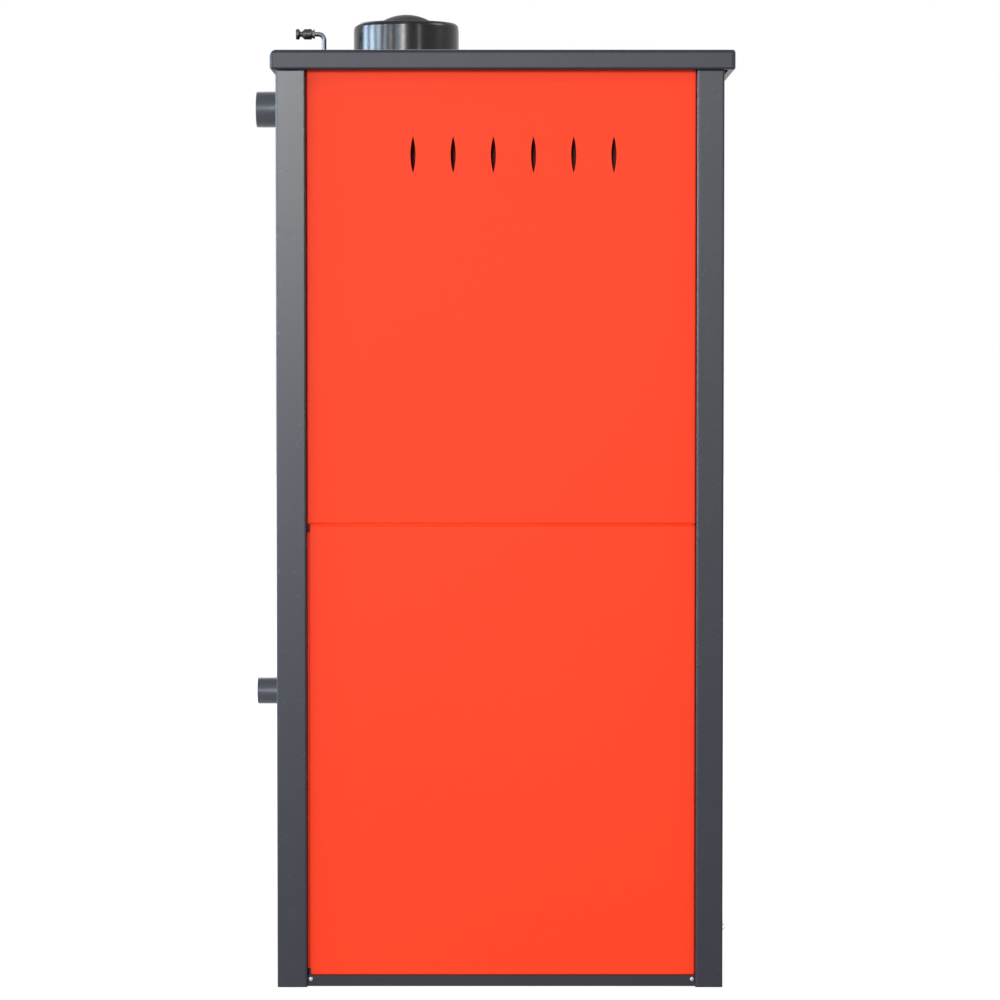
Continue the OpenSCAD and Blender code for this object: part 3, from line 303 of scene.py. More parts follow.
def printed(name, dark, light):
    """Silk-screened ink: almost even, with a slight grain."""
    finish = Finish(name, {"Roughness": 0.5, "Specular IOR Level": 0.4})
    finish.feed("Base Color", finish.mix(finish.noise(500, detail=2.0), dark, light))
    return finish


RED = powder_coat("orange_red_powder_coat", shade(246, 58, 22), shade(251, 63, 26),
                  roughness=0.46, specular=0.12, peel=0.06 * MM)
ANTHRACITE = powder_coat("anthracite_powder_coat", shade(23, 26, 35), shade(28, 31, 41),
                         roughness=0.27, specular=0.32, peel=0.02 * MM)
LID_PAINT = powder_coat("lid_powder_coat", shade(32, 33, 42), shade(38, 39, 48),
                        roughness=0.38, specular=0.26, peel=0.05 * MM)
PLINTH = powder_coat("plinth_powder_coat", shade(28, 27, 34), shade(34, 32, 39),
                     roughness=0.40, specular=0.22, peel=0.05 * MM)
GLOSS = gloss_black("gloss_black_enamel")
SOCKET = powder_coat("primed_socket_steel", shade(38, 40, 48), shade(52, 54, 62),
                     roughness=0.34, specular=0.6, peel=0.12 * MM)
CAST = stove_paint("cast_iron_stove_paint", shade(34, 34, 36), shade(52, 51, 52), grain=0.5 * MM)
HOT_CAST = stove_paint("fired_cast_iron", shade(40, 36, 34), shade(74, 66, 60), grain=0.7 * MM)
BLACK_PLATE = stove_paint("matt_black_plate", shade(30, 30, 32), shade(44, 44, 46), grain=0.15 * MM)
# Dark red primer. On the jacket it is picked darker and redder to stand in for the shade and red bounce
# light seen through the slots. Behind the panel notches it is painted shade.
PRIMER_AND_PAINTED_SHADE = stove_paint("red_oxide_primer_and_painted_shade", shade(92, 18, 10), shade(114, 26, 16), grain=0.1 * MM)
SCALE = plate_steel("hot_rolled_plate", shade(58, 62, 70), shade(96, 98, 104), metallic=0.7)
SOOTY = plate_steel("sooted_plate", shade(24, 23, 23), shade(52, 48, 46), metallic=0.3)
ZINC = plated_steel("zinc_plate", shade(152, 156, 166), roughness=0.24)
CHROME = plated_steel("chrome_plate", shade(214, 216, 220), roughness=0.08, stretch=(1, 6, 1))
TUBE = plated_steel("drawn_steel_tube", shade(92, 94, 100), roughness=0.30, stretch=(4, 4, 1))
VALVE = plated_steel("blacked_brass", shade(76, 74, 70), roughness=0.38)
LEVER = stove_paint("forged_lever_paint", shade(20, 20, 21), shade(34, 33, 33), grain=0.2 * MM)
GRIP = bakelite("black_bakelite", shade(16, 16, 17), shade(26, 25, 25))
BRICK = firebrick()
WOOL = wool()
ROPE = glass_fibre()
DOOR_GLASS = clear_glass("ceramic_glass", shade(226, 214, 196), shade(150, 134, 116), haze=0.5)
LENS = clear_glass("gauge_lens_glass", shade(246, 248, 248), shade(220, 224, 226), haze=0.3)
ENAMEL = speckled_enamel()
DIAL = printed("dial_white", shade(226, 224, 214), shade(238, 236, 228))
INK = printed("dial_ink", shade(18, 18, 20), shade(28, 28, 30))
NEEDLE = printed("needle_red", shade(186, 26, 20), shade(204, 34, 26))
BORDER = printed("glass_border_ink", shade(10, 10, 11), shade(16, 15, 15))

FINISHES = [
    (RED, ["side_panel_upper_left", "side_panel_lower_left", "side_panel_upper_right",
           "side_panel_lower_right", "front_fascia", "ash_drawer_front"]),
    (ANTHRACITE, ["post_front_left", "post_front_right", "post_rear_left", "post_rear_right",
                  "rear_panel_upper", "rear_panel_lower", "front_rails"]),
    (LID_PAINT, ["lid"]),
    (PLINTH, ["base_tray"]),
    (GLOSS, ["flue_collar", "flue_cap"]),
    (SOCKET, ["flow_socket", "return_socket"]),
    (TUBE, ["bleed_tube"]),
    (VALVE, ["bleed_body", "bleed_knob"]),
    (CAST, ["fire_door_frame", "oven_door_frame"]),
    (HOT_CAST, ["hearth_frame", "shaker_grate"]),
    (BLACK_PLATE, ["front_plate", "latch_keepers"]),
    # The jacket's dark red primer stands in for the shade and red bounce light in the slots: painted
    # shade and painted reflected light.
    (PRIMER_AND_PAINTED_SHADE, ["jacket_outer"]),
    (SCALE, ["smoke_shelf", "ash_pan"]),
    (SOOTY, ["jacket_inner", "throat_baffle", "damper"]),
    (ZINC, ["plinth_screws", "hinge_pins", "fire_latch", "oven_latch", "fire_door_clips",
            "oven_door_clips", "shaker_rod", "airwash_slide"]),
    (CHROME, ["gauge_cases", "oven_rack", "oven_runners", "ash_handle", "air_rosette"]),
    (GRIP, ["fire_handle", "oven_handle"]),
    (BRICK, ["fire_bricks"]),
    (WOOL, ["insulation"]),
    (ROPE, ["fire_door_seal", "oven_door_seal"]),
    (DOOR_GLASS, ["fire_door_glass", "oven_door_glass"]),
    (LENS, ["gauge_lenses"]),
    (ENAMEL, ["oven_box", "baking_tray"]),
    (NEEDLE, ["boiler_pointer", "oven_pointer"]),
]


def paint_nodes():
    for finish, names in FINISHES:
        for name in names:
            slots = nodes[name].data.materials
            slots.clear()
            slots.append(finish.material)


# Modelling by hand

FRONT = Vector((0, -1, 0))
REAR = Vector((0, 1, 0))
LEFT = Vector((-1, 0, 0))
RIGHT = Vector((1, 0, 0))
UP = Vector((0, 0, 1))
SAME_POINT = 0.000002           # points nearer than this are one


def start(name, primitive, **place):
    """Adds the primitive that a piece is shaped from and opens it for editing, all of it selected."""
    bpy.ops.object.select_all(action="DESELECT")
    primitive(**place)
    piece = bpy.context.object
    piece.name = piece.data.name = name
    bpy.ops.object.mode_set(mode="EDIT")
    bpy.ops.mesh.select_mode(type="VERT")
    bpy.ops.mesh.select_all(action="SELECT")
    return piece


def choose(kind, test):
    """Selects the faces, edges or points that pass the test, and nothing else."""
    bpy.ops.mesh.select_mode(type=kind)
    bpy.ops.mesh.select_all(action="DESELECT")
    mesh = bpy.context.object.data
    shape = bmesh.from_edit_mesh(mesh)
    for part in {"FACE": shape.faces, "EDGE": shape.edges, "VERT": shape.verts}[kind]:
        part.select = bool(test(part))
    shape.select_flush_mode()
    bmesh.update_edit_mesh(mesh)


def resize(x, y, z, middle=(0, 0, 0)):
    bpy.ops.transform.resize(value=(x, y, z), center_override=middle)


def extrude(x, y, z):
    bpy.ops.mesh.extrude_region_move(TRANSFORM_OT_translate={"value": (x, y, z)})


def close_seams():
    """Merges doubled points and turns every face outwards."""
    bpy.ops.mesh.select_mode(type="VERT")
    bpy.ops.mesh.select_all(action="SELECT")
    bpy.ops.mesh.remove_doubles(threshold=SAME_POINT)
    bpy.ops.mesh.normals_make_consistent(inside=False)
    if bmesh.from_edit_mesh(bpy.context.object.data).calc_volume(signed=True) < 0:
        bpy.ops.mesh.flip_normals()


def settle(piece, facing=UP, at=(0, 0, 0)):
    """Closes the edit, turns the piece's +Z to facing and moves it to its place."""
    close_seams()
    bpy.ops.object.mode_set(mode="OBJECT")
    return placed(piece, facing, at)


def placed(piece, facing, at):
    turn = Matrix.Identity(4)
    if facing != UP:
        turn = facing.to_track_quat("Z", "Y").to_matrix().to_4x4()
    piece.matrix_basis = Matrix.Translation(at) @ turn @ piece.matrix_basis
    only(piece)
    bpy.ops.object.transform_apply(location=True, rotation=True, scale=True)
    return piece


def only(*pieces):
    bpy.ops.object.select_all(action="DESELECT")
    for piece in pieces:
        piece.select_set(True)
    bpy.context.view_layer.objects.active = pieces[0]


def joined(name, pieces):
    only(*pieces)
    if len(pieces) > 1:
        bpy.ops.object.join()
    pieces[0].name = pieces[0].data.name = name
    return pieces[0]


def repeated(piece, places):
    """A copy of the piece, with its own mesh, at each (facing, point), all joined into one piece."""
    name, made = piece.name, []
    for facing, at in places:
        only(piece)
        bpy.ops.object.duplicate(linked=False)
        made.append(placed(bpy.context.object, facing, at))
    bpy.data.objects.remove(piece)
    return joined(name, made)


def worked(piece, kind, **settings):
    """Adds a modifier to the piece and applies it."""
    only(piece)
    modifier = piece.modifiers.new(kind.lower(), kind)
    for name, value in settings.items():
        setattr(modifier, name, value)
    bpy.ops.object.modifier_apply(modifier=modifier.name)


def boolean(piece, tool, operation):
    """Cuts the tool out of the piece or joins it on, and deletes the tool."""
    worked(piece, "BOOLEAN", object=tool, operation=operation, solver="EXACT")
    bpy.data.objects.remove(tool)


def fitted(piece, finish, body, replaces=(), smooth=35):
    """Smooths and finishes the piece and hands it to its body."""
    only(piece)
    bpy.ops.object.shade_smooth_by_angle(angle=math.radians(smooth))
    piece.data.materials.clear()
    piece.data.materials.append(finish.material)
    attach(piece, body)
    if replaces:
        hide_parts(*replaces)


def turned(name, sides, steps, hollow=False):
    """A piece turned about +Z: a disc or a ring drawn out from each (radius, height) to the next."""
    radius, height = steps[0]
    piece = start(name, bpy.ops.mesh.primitive_circle_add, vertices=sides, radius=radius,
                  fill_type="NOTHING" if hollow else "NGON", location=(0, 0, height))
    for wide, high in steps[1:]:
        extrude(0, 0, high - height)
        resize(wide / radius, wide / radius, 1)
        radius, height = wide, high
    if hollow:
        choose("EDGE", lambda edge: edge.is_boundary)
        bpy.ops.mesh.bridge_edge_loops()
    return piece


def block(name, low, high, bevel):
    """A cube drawn to two corners, with its edges broken."""
    low, high = Vector(low), Vector(high)
    piece = start(name, bpy.ops.mesh.primitive_cube_add, size=1, location=(low + high) / 2)
    resize(*(high - low), middle=(low + high) / 2)
    bpy.ops.mesh.bevel(offset=bevel, offset_type="OFFSET", segments=2, affect="EDGES")
    return piece


def wound(name, radius, wire_x, wire_z, pitch, turns, steps, sides):
    """A wire wound up +Z: a ring, wire_x by wire_z, spun about the axis and rising by pitch a turn."""
    piece = start(name, bpy.ops.mesh.primitive_circle_add, vertices=sides, radius=1,
                  fill_type="NOTHING", rotation=(math.pi / 2, 0, 0))
    resize(wire_x, 1, wire_z)
    bpy.ops.transform.translate(value=(radius, 0, 0))
    bpy.ops.object.mode_set(mode="OBJECT")
    bpy.ops.object.transform_apply(location=True, rotation=True, scale=True)
    worked(piece, "SCREW", screw_offset=pitch, iterations=turns, steps=steps, render_steps=steps,
           axis="Z")
    bpy.ops.object.mode_set(mode="EDIT")
    choose("EDGE", lambda edge: edge.is_boundary)
    bpy.ops.mesh.fill_holes(sides=sides)
    return piece


# Panels

LAP_DEPTH = 1.7 * MM            # panel faces to the laps in their joints
LAP_SHEET = 2 * MM
LAP_BEVEL = 0.2 * MM
LAP_REACH = 0.4 * MM            # how far a lap reaches under its neighbours
RELIEF_WIDTH = 2.4 * MM         # notch at the upper rear corner of a lower side panel
RELIEF_HEIGHT = 9.4 * MM


def panel_laps(side, out):
    """The laps that show in the seam and beside the rear post, and a dark red primer block behind the
    notch, put there as painted shade.
    """
    low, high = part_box("side_panel_lower_" + side)
    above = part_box("side_panel_upper_" + side)[0].z
    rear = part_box("side_panel_upper_" + side)[1].y
    face = high.x if out > 0 else low.x

    def lap(name, depth, y, z):
        x = sorted((face - out * depth, face - out * (depth + LAP_SHEET)))
        return settle(block(name, (x[0], y[0], z[0]), (x[1], y[1], z[1]), LAP_BEVEL))

    seam = lap("seam", LAP_DEPTH, (low.y + LAP_SHEET, high.y - RELIEF_WIDTH),
               (high.z - LAP_REACH, above + LAP_REACH))
    edge = lap("edge", LAP_DEPTH, (high.y - LAP_REACH, rear),
               (low.z + RELIEF_HEIGHT, high.z - RELIEF_HEIGHT))
    fitted(joined("panel_laps_" + side, [seam, edge]), RED, "stove")
    # The dark red primer block behind the notch stands in for the shade inside it: painted shade.
    notch = lap("notch_painted_shade_" + side, LAP_DEPTH + LAP_SHEET, (high.y - RELIEF_WIDTH - LAP_REACH, rear),
                (high.z - RELIEF_HEIGHT - LAP_REACH, above + LAP_REACH))
    fitted(notch, PRIMER_AND_PAINTED_SHADE, "stove")


# Screws

SCREW_HEAD = 3.4 * MM
SCREW_RISE = 2.2 * MM


def cross_slot(head, radius, top, depth):
    """Presses a cross that narrows downwards into a screw head."""
    length, width = 1.1 * radius, 0.26 * radius
    for turn in (0, math.pi / 2):
        tool = start("press", bpy.ops.mesh.primitive_cube_add, size=1, location=(0, 0, top))
        resize(length, width, 2 * depth, middle=(0, 0, top))
        choose("FACE", lambda face: face.normal.z < -0.5)
        resize(0.45, 0.7, 1, middle=(0, 0, top))
        bpy.ops.object.mode_set(mode="OBJECT")
        tool.rotation_euler = (0, 0, turn)
        boolean(head, tool, "DIFFERENCE")


def pan_head(name, radius, rise):
    """A pan head with a cross, its seat at the origin."""
    head = turned(name, 32, [
        (0.94 * radius, 0), (radius, 0.12 * rise), (radius, 0.34 * rise), (0.93 * radius, 0.62 * rise),
        (0.76 * radius, 0.86 * rise), (0.5 * radius, rise)])
    settle(head)
    cross_slot(head, radius, rise, 0.55 * rise)
    return head


def plinth_screws():
    low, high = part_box("plinth_screws")
    middle = (low.z + high.z) / 2
    face = high.x - SCREW_RISE
    head = pan_head("plinth_screw_heads", SCREW_HEAD, SCREW_RISE)
    places = [(side, (side.x * face, y, middle)) for side in (LEFT, RIGHT)
              for y in (low.y + SCREW_HEAD, high.y - SCREW_HEAD)]
    fitted(repeated(head, places), ZINC, "stove", replaces=["plinth_screws"])


REAR_SCREW_IN = 14 * MM         # panel edges to its screws


def rear_panel_screws():
    places = []
    for name in ("rear_panel_upper", "rear_panel_lower"):
        low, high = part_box(name)
        top = min(high.z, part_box("lid")[0].z)
        for z in (low.z + REAR_SCREW_IN, (low.z + top) / 2, top - REAR_SCREW_IN):
            places += [(REAR, (side * (high.x - REAR_SCREW_IN), high.y, z)) for side in (-1, 1)]
    head = pan_head("rear_panel_screws", SCREW_HEAD, SCREW_RISE)
    fitted(repeated(head, places), ZINC, "stove")


# Water and flue fittings

PIPE_PITCH = 2.309 * MM         # eleven threads an inch
THREAD_DEPTH = 24 * MM
THREAD_END = 2 * MM             # cone from the thread down to the bore
SOCKET_LIP = 1.5 * MM           # chamfer at the mouth
WELD_BEAD = 2.2 * MM            # radius of the weld round a socket


def weld_socket(name, crest, root):
    """A weld-on socket: a chamfered muff with a pipe thread wound inside its mouth, and its weld."""
    low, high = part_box(name)
    outer = (high.x - low.x) / 2
    reach = high.y - low.y
    lip, deep, pitch = SOCKET_LIP, THREAD_DEPTH, PIPE_PITCH
    muff = turned(name + "_muff", 96, [
        (outer, 0), (outer, reach - lip), (outer - 0.3 * lip, reach - 0.3 * lip), (outer - lip, reach),
        (root + lip, reach), (root, reach - lip), (root, reach - deep),
        (crest, reach - deep - THREAD_END), (crest, 0)], hollow=True)
    middle = (low.z + high.z) / 2
    settle(muff, REAR, (0, low.y, middle))
    turns = int((deep - 2 * pitch) / pitch)
    ridge = wound(name + "_thread", root, root - crest, 0.46 * pitch, pitch, turns, steps=64, sides=4)
    settle(ridge, REAR, (0, high.y - lip - (turns + 0.5) * pitch, middle))
    muff = joined(name + "_threaded", [muff, ridge])
    fitted(muff, SOCKET, "stove", replaces=[name], smooth=30)
    bead = wound(name + "_weld", outer, WELD_BEAD, WELD_BEAD, pitch=0, turns=1, steps=96, sides=10)
    settle(bead, REAR, (0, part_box("jacket_outer")[1].y, middle))
    fitted(bead, SCALE, "stove", smooth=60)


def sockets():
    """G 1 1/4 for the flow and G 1 for the return."""
    weld_socket("flow_socket", crest=19.475 * MM, root=20.955 * MM)
    weld_socket("return_socket", crest=15.145 * MM, root=16.625 * MM)


def knurled(radius, sides, depth, low, high):
    """Sinks every other strip of the drum that is open for editing, between two heights."""
    pitch = 2 * math.pi / sides

    def furrow(face):
        middle = face.calc_center_median()
        strip = int((math.atan2(middle.y, middle.x) % (2 * math.pi)) / pitch)
        flat = abs(face.normal.z) < 0.1
        return flat and strip % 2 == 0 and low < middle.z < high and middle.xy.length > 0.96 * radius

    close_seams()
    choose("FACE", furrow)
    slope = 0.12 * radius * pitch
    bpy.ops.mesh.inset(thickness=slope, depth=-depth, use_individual=True)


BLEED_BORE = 3.7 * MM           # hole for the bleed tube
BLEED_NUT = 2.4 * MM            # height of the union nut


def bleed_valve():
    """Air bleed: a union nut on the tube, a knurled drum and a flared thumb wheel."""
    low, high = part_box("bleed_body")
    radius = (high.x - low.x) / 2
    length = high.y - low.y
    at = (0, low.y, (low.z + high.z) / 2)
    bore = BLEED_BORE
    shoulder = 0.72 * radius
    body = turned("bleed_valve_drum", 60, [
        (bore, 0), (shoulder, 0), (shoulder, 0.10 * length), (0.94 * radius, 0.12 * length),
        (radius, 0.16 * length), (radius, 0.78 * length), (0.96 * radius, 0.82 * length),
        (0.80 * radius, 0.90 * length), (0.62 * radius, length), (bore, length)], hollow=True)
    knurled(radius, 60, 0.35 * MM, 0.16 * length, 0.78 * length)
    settle(body, REAR, at)
    fitted(body, VALVE, "stove", replaces=["bleed_body"])
    nut = turned("bleed_valve_nut", 6, [
        (bore, 0), (0.86 * radius, 0), (0.86 * radius, BLEED_NUT), (bore, BLEED_NUT)], hollow=True)
    settle(nut, REAR, (0, low.y - BLEED_NUT, at[2]))
    fitted(nut, VALVE, "stove")

    neck = high.y
    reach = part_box("bleed_knob")[1].y - neck
    wheel = turned("bleed_thumb_wheel", 60, [
        (0.5 * radius, -2 * MM), (0.5 * radius, 0.28 * reach), (0.66 * radius, 0.38 * reach),
        (0.9 * radius, 0.46 * reach), (0.97 * radius, 0.50 * reach), (radius, 0.56 * reach),
        (radius, 0.92 * reach), (0.94 * radius, reach), (0.55 * radius, reach),
        (0.50 * radius, 0.94 * reach)])
    knurled(radius, 60, 0.3 * MM, 0.56 * reach, 0.92 * reach)
    settle(wheel, REAR, (0, neck, at[2]))
    fitted(wheel, VALVE, "bleed", replaces=["bleed_knob"])


# Gauges

DIAL_START = math.radians(225)  # the lowest mark, from the dial's +X
DIAL_SWEEP = math.radians(270)
DIAL_MARKS = 6                  # numbered steps from the lowest mark to the highest
FINE_MARKS = 5                  # short ticks to a numbered step
DIAL_RADIUS = 24.6 * MM
CARD_SHEET = 0.25 * MM
CARD_FORWARD = 1 * MM           # fascia's face to the card's back
PRINT_LIFT = 0.28 * MM          # card's back to the middle of the print
PRINT_SHEET = 0.06 * MM
TICK_RING = 23.2 * MM           # outer ends of the ticks
NUMBER_RING = 16.0 * MM
NUMBER_SIZE = 4.0 * MM
UNIT_RING = 9.5 * MM
UNIT_SIZE = 4.2 * MM
HOT_RING = 24.0 * MM            # outer edge of the red stretch
HOT_PARTS = 40                  # short bars that make up the red stretch, less one


def dial_angle(share):
    """Angle of a mark from the dial's +X, seen from the front, for a share of the full sweep."""
    return DIAL_START - share * DIAL_SWEEP


def dial_place(centre, radius, angle):
    x, y, z = centre
    return Vector((x + radius * math.cos(angle), y - PRINT_LIFT, z + radius * math.sin(angle)))


def dial_tick(centre, radius, angle, length, width):
    """A bar of ink that points at the dial's centre."""
    tick = start("tick", bpy.ops.mesh.primitive_cube_add, size=1)
    resize(length, width, PRINT_SHEET)
    bpy.ops.object.mode_set(mode="OBJECT")
    tick.matrix_basis = Matrix.Rotation(-angle, 4, "Y") @ Matrix.Rotation(math.pi / 2, 4, "X")
    tick.location = dial_place(centre, radius - length / 2, angle)
    only(tick)
    bpy.ops.object.transform_apply(location=True, rotation=True, scale=True)
    return tick


def lettered(words, size, at):
    """Upright print that faces the front, as a thin mesh."""
    bpy.ops.object.select_all(action="DESELECT")
    bpy.ops.object.text_add(rotation=(math.pi / 2, 0, 0), location=at)
    text = bpy.context.object
    text.data.body = words
    text.data.size = size
    text.data.align_x = text.data.align_y = "CENTER"
    text.data.extrude = PRINT_SHEET / 2
    bpy.ops.object.convert(target="MESH")
    bpy.ops.object.mode_set(mode="EDIT")
    close_seams()
    bpy.ops.object.mode_set(mode="OBJECT")
    bpy.ops.object.transform_apply(location=True, rotation=True, scale=True)
    return bpy.context.object


def gauge(label, centre, step, hot_from):
    """A printed card behind the lens: numbers, long and short ticks, a red stretch for the hot end."""
    card = turned(label + "_dial_card", 96, [(DIAL_RADIUS, 0), (DIAL_RADIUS, CARD_SHEET)])
    settle(card, FRONT, centre)
    fitted(card, DIAL, "stove")
    marks = [lettered("°C", UNIT_SIZE, dial_place(centre, UNIT_RING, math.radians(270)))]
    for mark in range(DIAL_MARKS + 1):
        angle = dial_angle(mark / DIAL_MARKS)
        marks.append(dial_tick(centre, TICK_RING, angle, length=3.4 * MM, width=0.7 * MM))
        marks.append(lettered(str(mark * step), NUMBER_SIZE, dial_place(centre, NUMBER_RING, angle)))
    ticks = FINE_MARKS * DIAL_MARKS
    for mark in range(ticks + 1):
        angle = dial_angle(mark / ticks)
        marks.append(dial_tick(centre, TICK_RING, angle, length=1.8 * MM, width=0.3 * MM))
    fitted(joined(label + "_dial_print", marks), INK, "stove")
    hot = []
    for part in range(HOT_PARTS + 1):
        angle = dial_angle(hot_from + (1 - hot_from) * part / HOT_PARTS)
        hot.append(dial_tick(centre, HOT_RING, angle, length=0.9 * MM, width=1.1 * MM))
    fitted(joined(label + "_dial_hot_zone", hot), NEEDLE, "stove")


def gauges():
    low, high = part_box("gauge_cases")
    bezel = (high.z - low.z) / 2
    middle = (low.z + high.z) / 2
    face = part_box("front_fascia")[0].y - CARD_FORWARD
    gauge("boiler", (low.x + bezel, face, middle), step=20, hot_from=0.80)
    # The oven's red stretch has no length: its bars all lie at the last mark
    gauge("oven", (high.x - bezel, face, middle), step=50, hot_from=1.0)


# Knobs and levers

KNOB_SKIN = 0.3 * MM            # a moulded knob stands this much outside the plain one in the solids
DAMPER_ROD_IN = 12 * MM         # right edge of the damper to its rod
SLIDE_KNOB_IN = 8 * MM          # right end of the air-wash slide to its knob


def pull_knob(name, tip, radius, length, body):
    """A moulded knob with a waist and a knurled head, over the plain knob that ends at the tip."""
    knob = turned(name, 72, [
        (0.66 * radius, 0), (0.66 * radius, 0.05 * length), (0.59 * radius, 0.10 * length),
        (0.59 * radius, 0.22 * length), (0.78 * radius, 0.27 * length), (0.96 * radius, 0.29 * length),
        (radius, 0.34 * length), (radius, 0.80 * length), (0.97 * radius, 0.90 * length),
        (0.86 * radius, 0.97 * length), (0.70 * radius, 0.995 * length), (0.3 * radius, length)])
    knurled(radius, 36, 0.2 * MM, 0.34 * length, 0.80 * length)
    settle(knob, FRONT, (tip[0], tip[1] + length - KNOB_SKIN, tip[2]))
    fitted(knob, GRIP, body, smooth=50)


def pull_knobs():
    """Moulded knobs over the rods of the damper, the grate and the air wash."""
    damper_low, damper_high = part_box("damper")
    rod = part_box("shaker_rod")
    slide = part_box("airwash_slide")
    middle = (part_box("gauge_cases")[0].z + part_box("gauge_cases")[1].z) / 2
    pull_knob("damper_pull_knob", (damper_high.x - DAMPER_ROD_IN, damper_low.y, middle),
              11.3 * MM, 24.6 * MM, "damper")
    pull_knob("grate_pull_knob", (0, rod[0].y, (rod[0].z + rod[1].z) / 2),
              10.3 * MM, 22.6 * MM, "grate")
    slide_z = (slide[0].z + slide[1].z) / 2
    pull_knob("airwash_pull_knob", (slide[1].x - SLIDE_KNOB_IN, slide[0].y, slide_z),
              5.8 * MM, 12.6 * MM, "airwash")


HUB_RADIUS = 13 * MM
NECK_RADIUS = 7.2 * MM          # arm between the hub and the grip
ELBOW_RADIUS = 8.2 * MM
ROD_RADIUS = 3.4 * MM           # core of the grip
GRIP_RADIUS = 9 * MM
COIL_WIRE = 1.9 * MM            # radius of the wire
COIL_PITCH = 4.3 * MM
COIL_FOOT = 6.5 * MM            # lower end of the lever to the coil
COIL_HEAD = 14 * MM             # spindle to the coil
LEVER_NUT = 5.6 * MM            # radius of the nut over its corners


def lever(door):
    """A hub and arm with a core rod, a cooling coil wound on it, a turned cap and a nut."""
    name, body = door + "_handle", door + "_lever"
    low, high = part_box(name)
    x = (low.x + high.x) / 2
    hub_y = high.y
    spindle_z = high.z - HUB_RADIUS
    grip_y = low.y + GRIP_RADIUS
    hub = turned(name + "_hub", 64, [
        (11.2 * MM, 0), (HUB_RADIUS, 0.6 * MM), (HUB_RADIUS, 6 * MM), (11.6 * MM, 8.2 * MM),
        (8.4 * MM, 9.6 * MM), (NECK_RADIUS, 11 * MM), (NECK_RADIUS, 17.5 * MM)])
    settle(hub, FRONT, (x, hub_y, spindle_z))
    elbow = turned(name + "_elbow", 64, [
        (5 * MM, 9.6 * MM), (NECK_RADIUS, 8.6 * MM), (ELBOW_RADIUS, 6 * MM), (ELBOW_RADIUS, -7 * MM),
        (7 * MM, -9.5 * MM), (4 * MM, -12 * MM), (ROD_RADIUS, -14 * MM),
        (ROD_RADIUS, low.z - spindle_z + 6 * MM)])
    settle(elbow, UP, (x, grip_y, spindle_z))
    boolean(hub, elbow, "UNION")
    fitted(hub, LEVER, body, replaces=[name], smooth=45)

    foot = low.z + COIL_FOOT
    turns = int((spindle_z - COIL_HEAD - foot) / COIL_PITCH)
    coil = wound(name + "_coil", GRIP_RADIUS - COIL_WIRE, COIL_WIRE, COIL_WIRE, COIL_PITCH, turns,
                 steps=36, sides=12)
    settle(coil, UP, (x, grip_y, foot))
    fitted(coil, CHROME, body, smooth=60)
    cap = turned(name + "_cap", 48, [
        (ROD_RADIUS, 6.2 * MM), (8.4 * MM, 6.2 * MM), (GRIP_RADIUS, 5.4 * MM), (GRIP_RADIUS, 3.4 * MM),
        (8 * MM, 1.4 * MM), (5.6 * MM, 0.3 * MM), (2.4 * MM, 0)])
    settle(cap, UP, (x, grip_y, low.z))
    fitted(cap, GRIP, body, smooth=50)
    nut = turned(name + "_nut", 6, [(LEVER_NUT, 0), (LEVER_NUT, 2.6 * MM), (4.4 * MM, 3.0 * MM)])
    settle(nut, FRONT, (x, low.y + 3.1 * MM, spindle_z))
    fitted(nut, ZINC, body)


# Doors

GLASS_BORDER = 9 * MM           # printed band inside the door's window
GLASS_EDGE = 12 * MM            # glass held behind the casting
GLASS_MARGIN = 1 * MM           # edge of the glass to the print
BORDER_CORNER = 5 * MM
INK_SHEET = 0.06 * MM


def glass_border(door):
    """A black printed band on the front of the glass."""
    low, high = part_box(door + "_door_glass")
    middle = (low + high) / 2
    half_x, half_z = (high.x - low.x) / 2 - GLASS_MARGIN, (high.z - low.z) / 2 - GLASS_MARGIN
    band = start(door + "_glass_border", bpy.ops.mesh.primitive_plane_add, size=2)
    resize(half_x, half_z, 1)
    bpy.ops.mesh.inset(thickness=GLASS_EDGE + GLASS_BORDER, depth=0)
    bpy.ops.mesh.delete(type="FACE")
    bpy.ops.mesh.select_all(action="SELECT")
    bpy.ops.mesh.bevel(offset=BORDER_CORNER, segments=5, affect="VERTICES")
    bpy.ops.mesh.select_all(action="SELECT")
    extrude(0, 0, INK_SHEET)
    settle(band, FRONT, (middle.x, low.y, middle.z))
    fitted(band, BORDER, door + "_door")


CLIP_HALF_X = 10 * MM           # half sizes of a clip's plate
CLIP_HALF_Z = 7 * MM
CLIP_PLAIN_HEAD = 2 * MM        # height of the plain screw heads in the solids
CLIP_HEAD = 3.5 * MM
CLIP_RISE = 2.1 * MM


def clip_screws(door):
    """A small cross-headed screw on each glass clip."""
    low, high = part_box(door + "_door_clips")
    face = high.y - CLIP_PLAIN_HEAD
    head = pan_head(door + "_clip_screw_heads", CLIP_HEAD, CLIP_RISE)
    places = [(REAR, (x, face, z)) for x in (low.x + CLIP_HALF_X, high.x - CLIP_HALF_X)
              for z in (low.z + CLIP_HALF_Z, high.z - CLIP_HALF_Z)]
    fitted(repeated(head, places), ZINC, door + "_door")


ROPE_CORNER = 18 * MM
ROPE_LAY = 15 * MM              # length in which a strand goes once round the rope
ROPE_STRANDS = 3
ROPE_POINTS = 9                 # points of a strand in one turn
STRAND_SHARE = 0.56             # strand's radius as a share of the rope's


